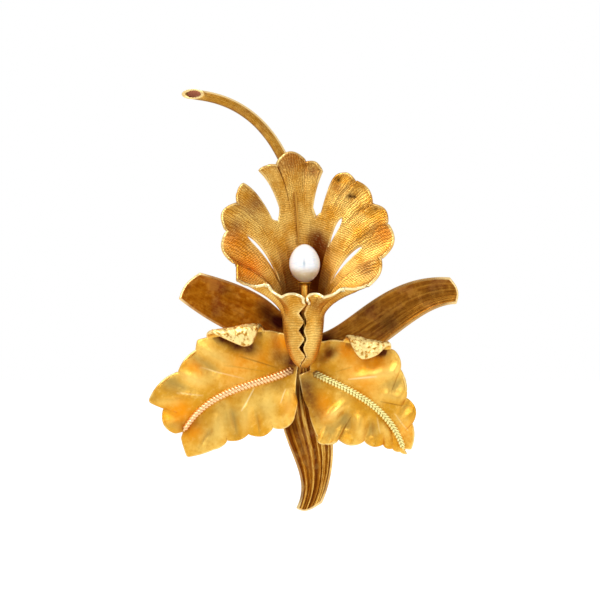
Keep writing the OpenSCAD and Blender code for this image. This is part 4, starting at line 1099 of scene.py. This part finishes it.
def makePost(material):
    # A fluted wire that ends in the pearl's peg, and a dished cup on its shoulder
    cupLow, cupHigh = corners("pearl_cup")
    x, cupR = (cupLow[0] + cupHigh[0]) / 2, (cupHigh[0] - cupLow[0]) / 2
    postR = (postHigh[0] - postLow[0]) / 2
    centre = (x, postY)
    low, top = postLow[2], cupLow[2]
    peg = postHigh[2]

    def fluted(height, a):
        groove = 0.5 + 0.5 * np.cos(post["flutes"] * a)
        return 1 - post["fluteDepth"] * groove * (height < top - 0.3)

    profile = [[0.2, low], [postR - 0.06, low + 0.02], [postR, low + 0.1]]
    profile += [[postR, z] for z in np.linspace(low + 0.3, top - 0.3, 40)]
    profile += [[postR * 1.02, top - 0.2], [postR * 0.98, top - 0.1], [0.26, top - 0.04],
                [0.25, top + 0.1], [0.25, peg - 0.1], [0.18, peg]]
    turnedPiece("pearl_wire", profile, centre, post["sides"], material, "post_gold", ["pearl_post"], fluted)
    cup = [[0.3, top + 0.005], [postR, top], [postR + 0.1, top + 0.03], [cupR - 0.12, top + 0.15],
           [cupR - 0.02, top + 0.21], [cupR, top + 0.25], [cupR - 0.03, top + 0.285],
           [cupR - 0.1, top + 0.27], [postR + 0.15, top + 0.2], [postR, top + 0.19], [0.3, top + 0.19]]
    turnedPiece("pearl_seat", cup, centre, post["cupSides"], material, "post_gold", ["pearl_cup"])


# ---- Lip vein
lipVein = {"row": 8.45, "from": 0.33, "to": 0.63, "radius": 0.2, "lift": 0.16, "rings": 70, "sides": 20}


def makeVein(material):
    # The raised vein in the middle of the fan, twice as thick at its upper end, with rounded ends
    v = np.linspace(lipVein["from"], lipVein["to"], lipVein["rings"])
    u = np.full_like(v, lipVein["row"])
    forward = lip["sheet"] / 2 + lipVein["lift"] + sheetGap["solder"]
    path = lipAt(u, np.zeros_like(u), v) + [0, -forward, 0]
    way = unit(np.gradient(path, axis=0))
    ring = np.arange(len(v))
    radius = lipVein["radius"] * mix(0.5, 1.0, np.linspace(0, 1, len(v))) * np.sqrt(smooth(ring, -3, 5))
    radius = radius * np.sqrt(1 - smooth(ring, 62, 71) * 0.85)
    rings, a = ringsAlong(path, way, radius[:, None], lipVein["sides"])
    shade = np.ones(rings.shape[:2])
    spots, faces, marks = tubeMesh(rings, {"ridge": shade * 0.6, "smoke": shade * 0.25})
    makePiece("lip_ridge", spots, faces, marks, None, material, "engraved_gold", ["lip_vein"])


# ---- Back fittings
brokenEdges = {"hub_disc": 0.1, "hub_post": 0.05, "back_bar": 0.1, "hinge_bracket": 0.06,
               "hinge_rivet": 0.05, "catch_housing": 0.06}


def softened(node, body, width, material, creaseAngle=28):
    # The designed solid with its flat faces whole again and every edge rounded to the width
    source = bpy.data.objects[node]
    work = bmesh.new()
    work.from_mesh(source.data)
    bmesh.ops.remove_doubles(work, verts=work.verts, dist=1e-7)
    bmesh.ops.dissolve_limit(work, angle_limit=math.radians(1), verts=work.verts, edges=work.edges)
    mesh = bpy.data.meshes.new(node + "_made")
    work.to_mesh(mesh)
    work.free()
    mesh.materials.clear()
    mesh.materials.append(material)
    mesh.polygons.foreach_set("use_smooth", np.ones(len(mesh.polygons), dtype=bool))
    piece = addObject(node + "_made", mesh)
    edge = piece.modifiers.new("broken edges", "BEVEL")
    edge.width = width * mm
    edge.segments = 3
    edge.limit_method = "ANGLE"
    edge.angle_limit = math.radians(creaseAngle)
    edge.harden_normals = True
    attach(piece, body)
    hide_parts(node)
    print(f"{node}_made: {len(mesh.polygons)} faces")
    return piece


# ---- Build
petalGold = petalLook()
engravedGold = engravedLook()
makeLip(engravedGold)
makeVein(wireLook("raised vein gold", (226, 170, 76), (140, 84, 24), 0.36))
makePetal("left_petal_sheet", leftPetal, "left_petal", petalGold)
makePetal("right_petal_sheet", rightPetal, "right_petal", petalGold)
roseGold = wireLook("rose gold beads", (250, 206, 150), (186, 114, 66), 0.27)
greenGold = wireLook("green gold herringbone", (250, 236, 156), (140, 108, 38), 0.24)
makeMidrib("left_rib_beads", leftPetal, 0.6, slantedBeads, roseGold, "rose_gold", "left_midrib")
makeMidrib("right_rib_bars", rightPetal, 0.7, herringbone, greenGold, "green_gold", "right_midrib")
makeSepal("left_sepal_sheet", leftSepal, "left_sepal",
          sepalLook("left sepal gold", (206, 142, 58), (182, 112, 26), (140, 72, 10), 0.12))
makeSepal("right_sepal_sheet", rightSepal, "right_sepal",
          sepalLook("right sepal gold", (206, 150, 66), (168, 110, 38), (122, 72, 24), 0.4))
makeSepal("lower_sepal_sheet", lowerSepal, "lower_sepal",
          sepalLook("lower sepal gold", (255, 214, 112), (190, 122, 36), (104, 50, 14)))
makeStem(sepalLook("stem gold", (250, 212, 118), (200, 138, 42), (132, 82, 24), 0.8),
         fittingLook("stem end solder", (158, 98, 74), (110, 62, 44), 0.5))
makePearl(pearlLook())
makePost(wireLook("post gold", (240, 186, 84), (150, 90, 26), 0.26))
backGold = fittingLook("back gold", (222, 172, 82), (176, 122, 46), 0.24)
needleGold = fittingLook("needle gold", (240, 208, 136), (206, 160, 84), 0.16)
for backNode, broken in brokenEdges.items():
    softened(backNode, "flower", broken, backGold)
softened("needle", "pin", 0.02, needleGold)
softened("catch_rotor", "rotor", 0.05, backGold)


# ---- Floor, light and camera
stageSet = {
    "drop": 12, "radius": 3000, "near": 90,
    "keyAt": (-260, -320, 420), "keySize": 260, "keyPower": 1.9,
    "fillAt": (420, -300, 120), "fillSize": 300, "fillPower": 0.5,
    "lens": 500, "sensor": 36, "heightShare": 0.705, "shift": 0.5,
}
shownLow, shownHigh = (np.array(corner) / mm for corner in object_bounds())
middle = (shownLow + shownHigh) / 2


def makeFloor():
    # A pale disc under the brooch, white to the camera, that still darkens in the brooch's shadow
    look = Look("pale floor")
    path = "ShaderNodeLightPath"
    seen = look.node(path, out="Is Camera Ray").most(look.node(path, out="Is Glossy Ray"))
    seen = seen.most(look.node(path, out="Is Transmission Ray"))
    away = look.node("ShaderNodeVectorMath", {"operation": "LENGTH"}, {0: look.place()}, out="Value")
    far = away.between(stageSet["near"] * mm, 4 * stageSet["near"] * mm)
    glow = look.node("ShaderNodeEmission", values={"Color": (1, 1, 1, 1), "Strength": 1.25})
    paper = look.node("ShaderNodeBsdfDiffuse", values={"Color": (0.9, 0.9, 0.9, 1)})
    shader = look.node("ShaderNodeMixShader", values={0: seen * (0.6 + 0.4 * far), 1: paper, 2: glow})
    look.node("ShaderNodeOutputMaterial", values={"Surface": shader})
    bpy.ops.mesh.primitive_circle_add(vertices=96, radius=stageSet["radius"] * mm, fill_type="NGON",
                                      location=(0, 0, (shownLow[2] - stageSet["drop"]) * mm))
    floor = bpy.context.object
    floor.name = "floor"
    floor.data.materials.append(look.material)
    floor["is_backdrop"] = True


def makeSky():
    # A studio: white behind and to the camera, brighter above and to the left, with a narrow dark
    # gap in front, where the camera stands
    world = bpy.data.worlds.new("studio")
    bpy.context.scene.world = world
    world.use_nodes = True
    look = Look("studio", world.node_tree)
    way = look.node("ShaderNodeTexCoord", out="Generated")
    x, y, z = (look.node("ShaderNodeSeparateXYZ", values={0: way}, out=k) for k in range(3))
    behind = y.between(-0.15, 0.35)
    studio = 0.34 + 0.7 * z.between(-0.25, 0.9) - 0.14 * x.between(-0.6, 0.8)
    gap = (1 - x.math("ABSOLUTE").between(0.03, 0.11)) * (1 - z.math("ABSOLUTE").between(0.15, 0.4))
    studio = studio - 0.3 * gap * (y * -1).between(0.6, 0.9)
    path = "ShaderNodeLightPath"
    camera = look.node(path, out="Is Camera Ray")
    mirrored = look.node(path, out="Is Glossy Ray").most(look.node(path, out="Is Transmission Ray"))
    white = camera.most(mirrored * behind)
    strength = studio * (1 - white) + white
    sky = look.node("ShaderNodeBackground", values={"Color": (1, 1, 1, 1), "Strength": strength})
    look.node("ShaderNodeOutputWorld", values={"Surface": sky})


def makeLamp(name, place, size, power):         # a square lamp that faces the brooch's middle
    lamp = bpy.data.lights.new(name, "AREA")
    lamp.size = size * mm
    lamp.energy = power
    holder = addObject(name, lamp)
    holder.location = Vector(place) * mm
    holder.rotation_euler = (Vector(middle) * mm - holder.location).to_track_quat("-Z", "Y").to_euler()


def makeCamera():
    # Straight in front, from far enough away that depth hardly changes size
    lens, sensor = stageSet["lens"], stageSet["sensor"]
    viewWidth = (shownHigh[2] - shownLow[2]) / stageSet["heightShare"]
    data = bpy.data.cameras.new("camera")
    data.lens = lens
    data.sensor_width = sensor
    camera = addObject("camera", data)
    distance = viewWidth * lens / sensor
    camera.location = Vector((middle[0] - stageSet["shift"], middle[1] - distance, middle[2])) * mm
    camera.rotation_euler = (math.pi / 2, 0, 0)
    data.clip_start = 0.05
    data.clip_end = 20
    bpy.context.scene.camera = camera


makeFloor()
makeSky()
for lampName in ("key", "fill"):
    makeLamp(lampName, *(stageSet[lampName + part] for part in ("At", "Size", "Power")))
makeCamera()
bpy.context.scene.view_settings.view_transform = "Standard"
print("stage, light and camera made")
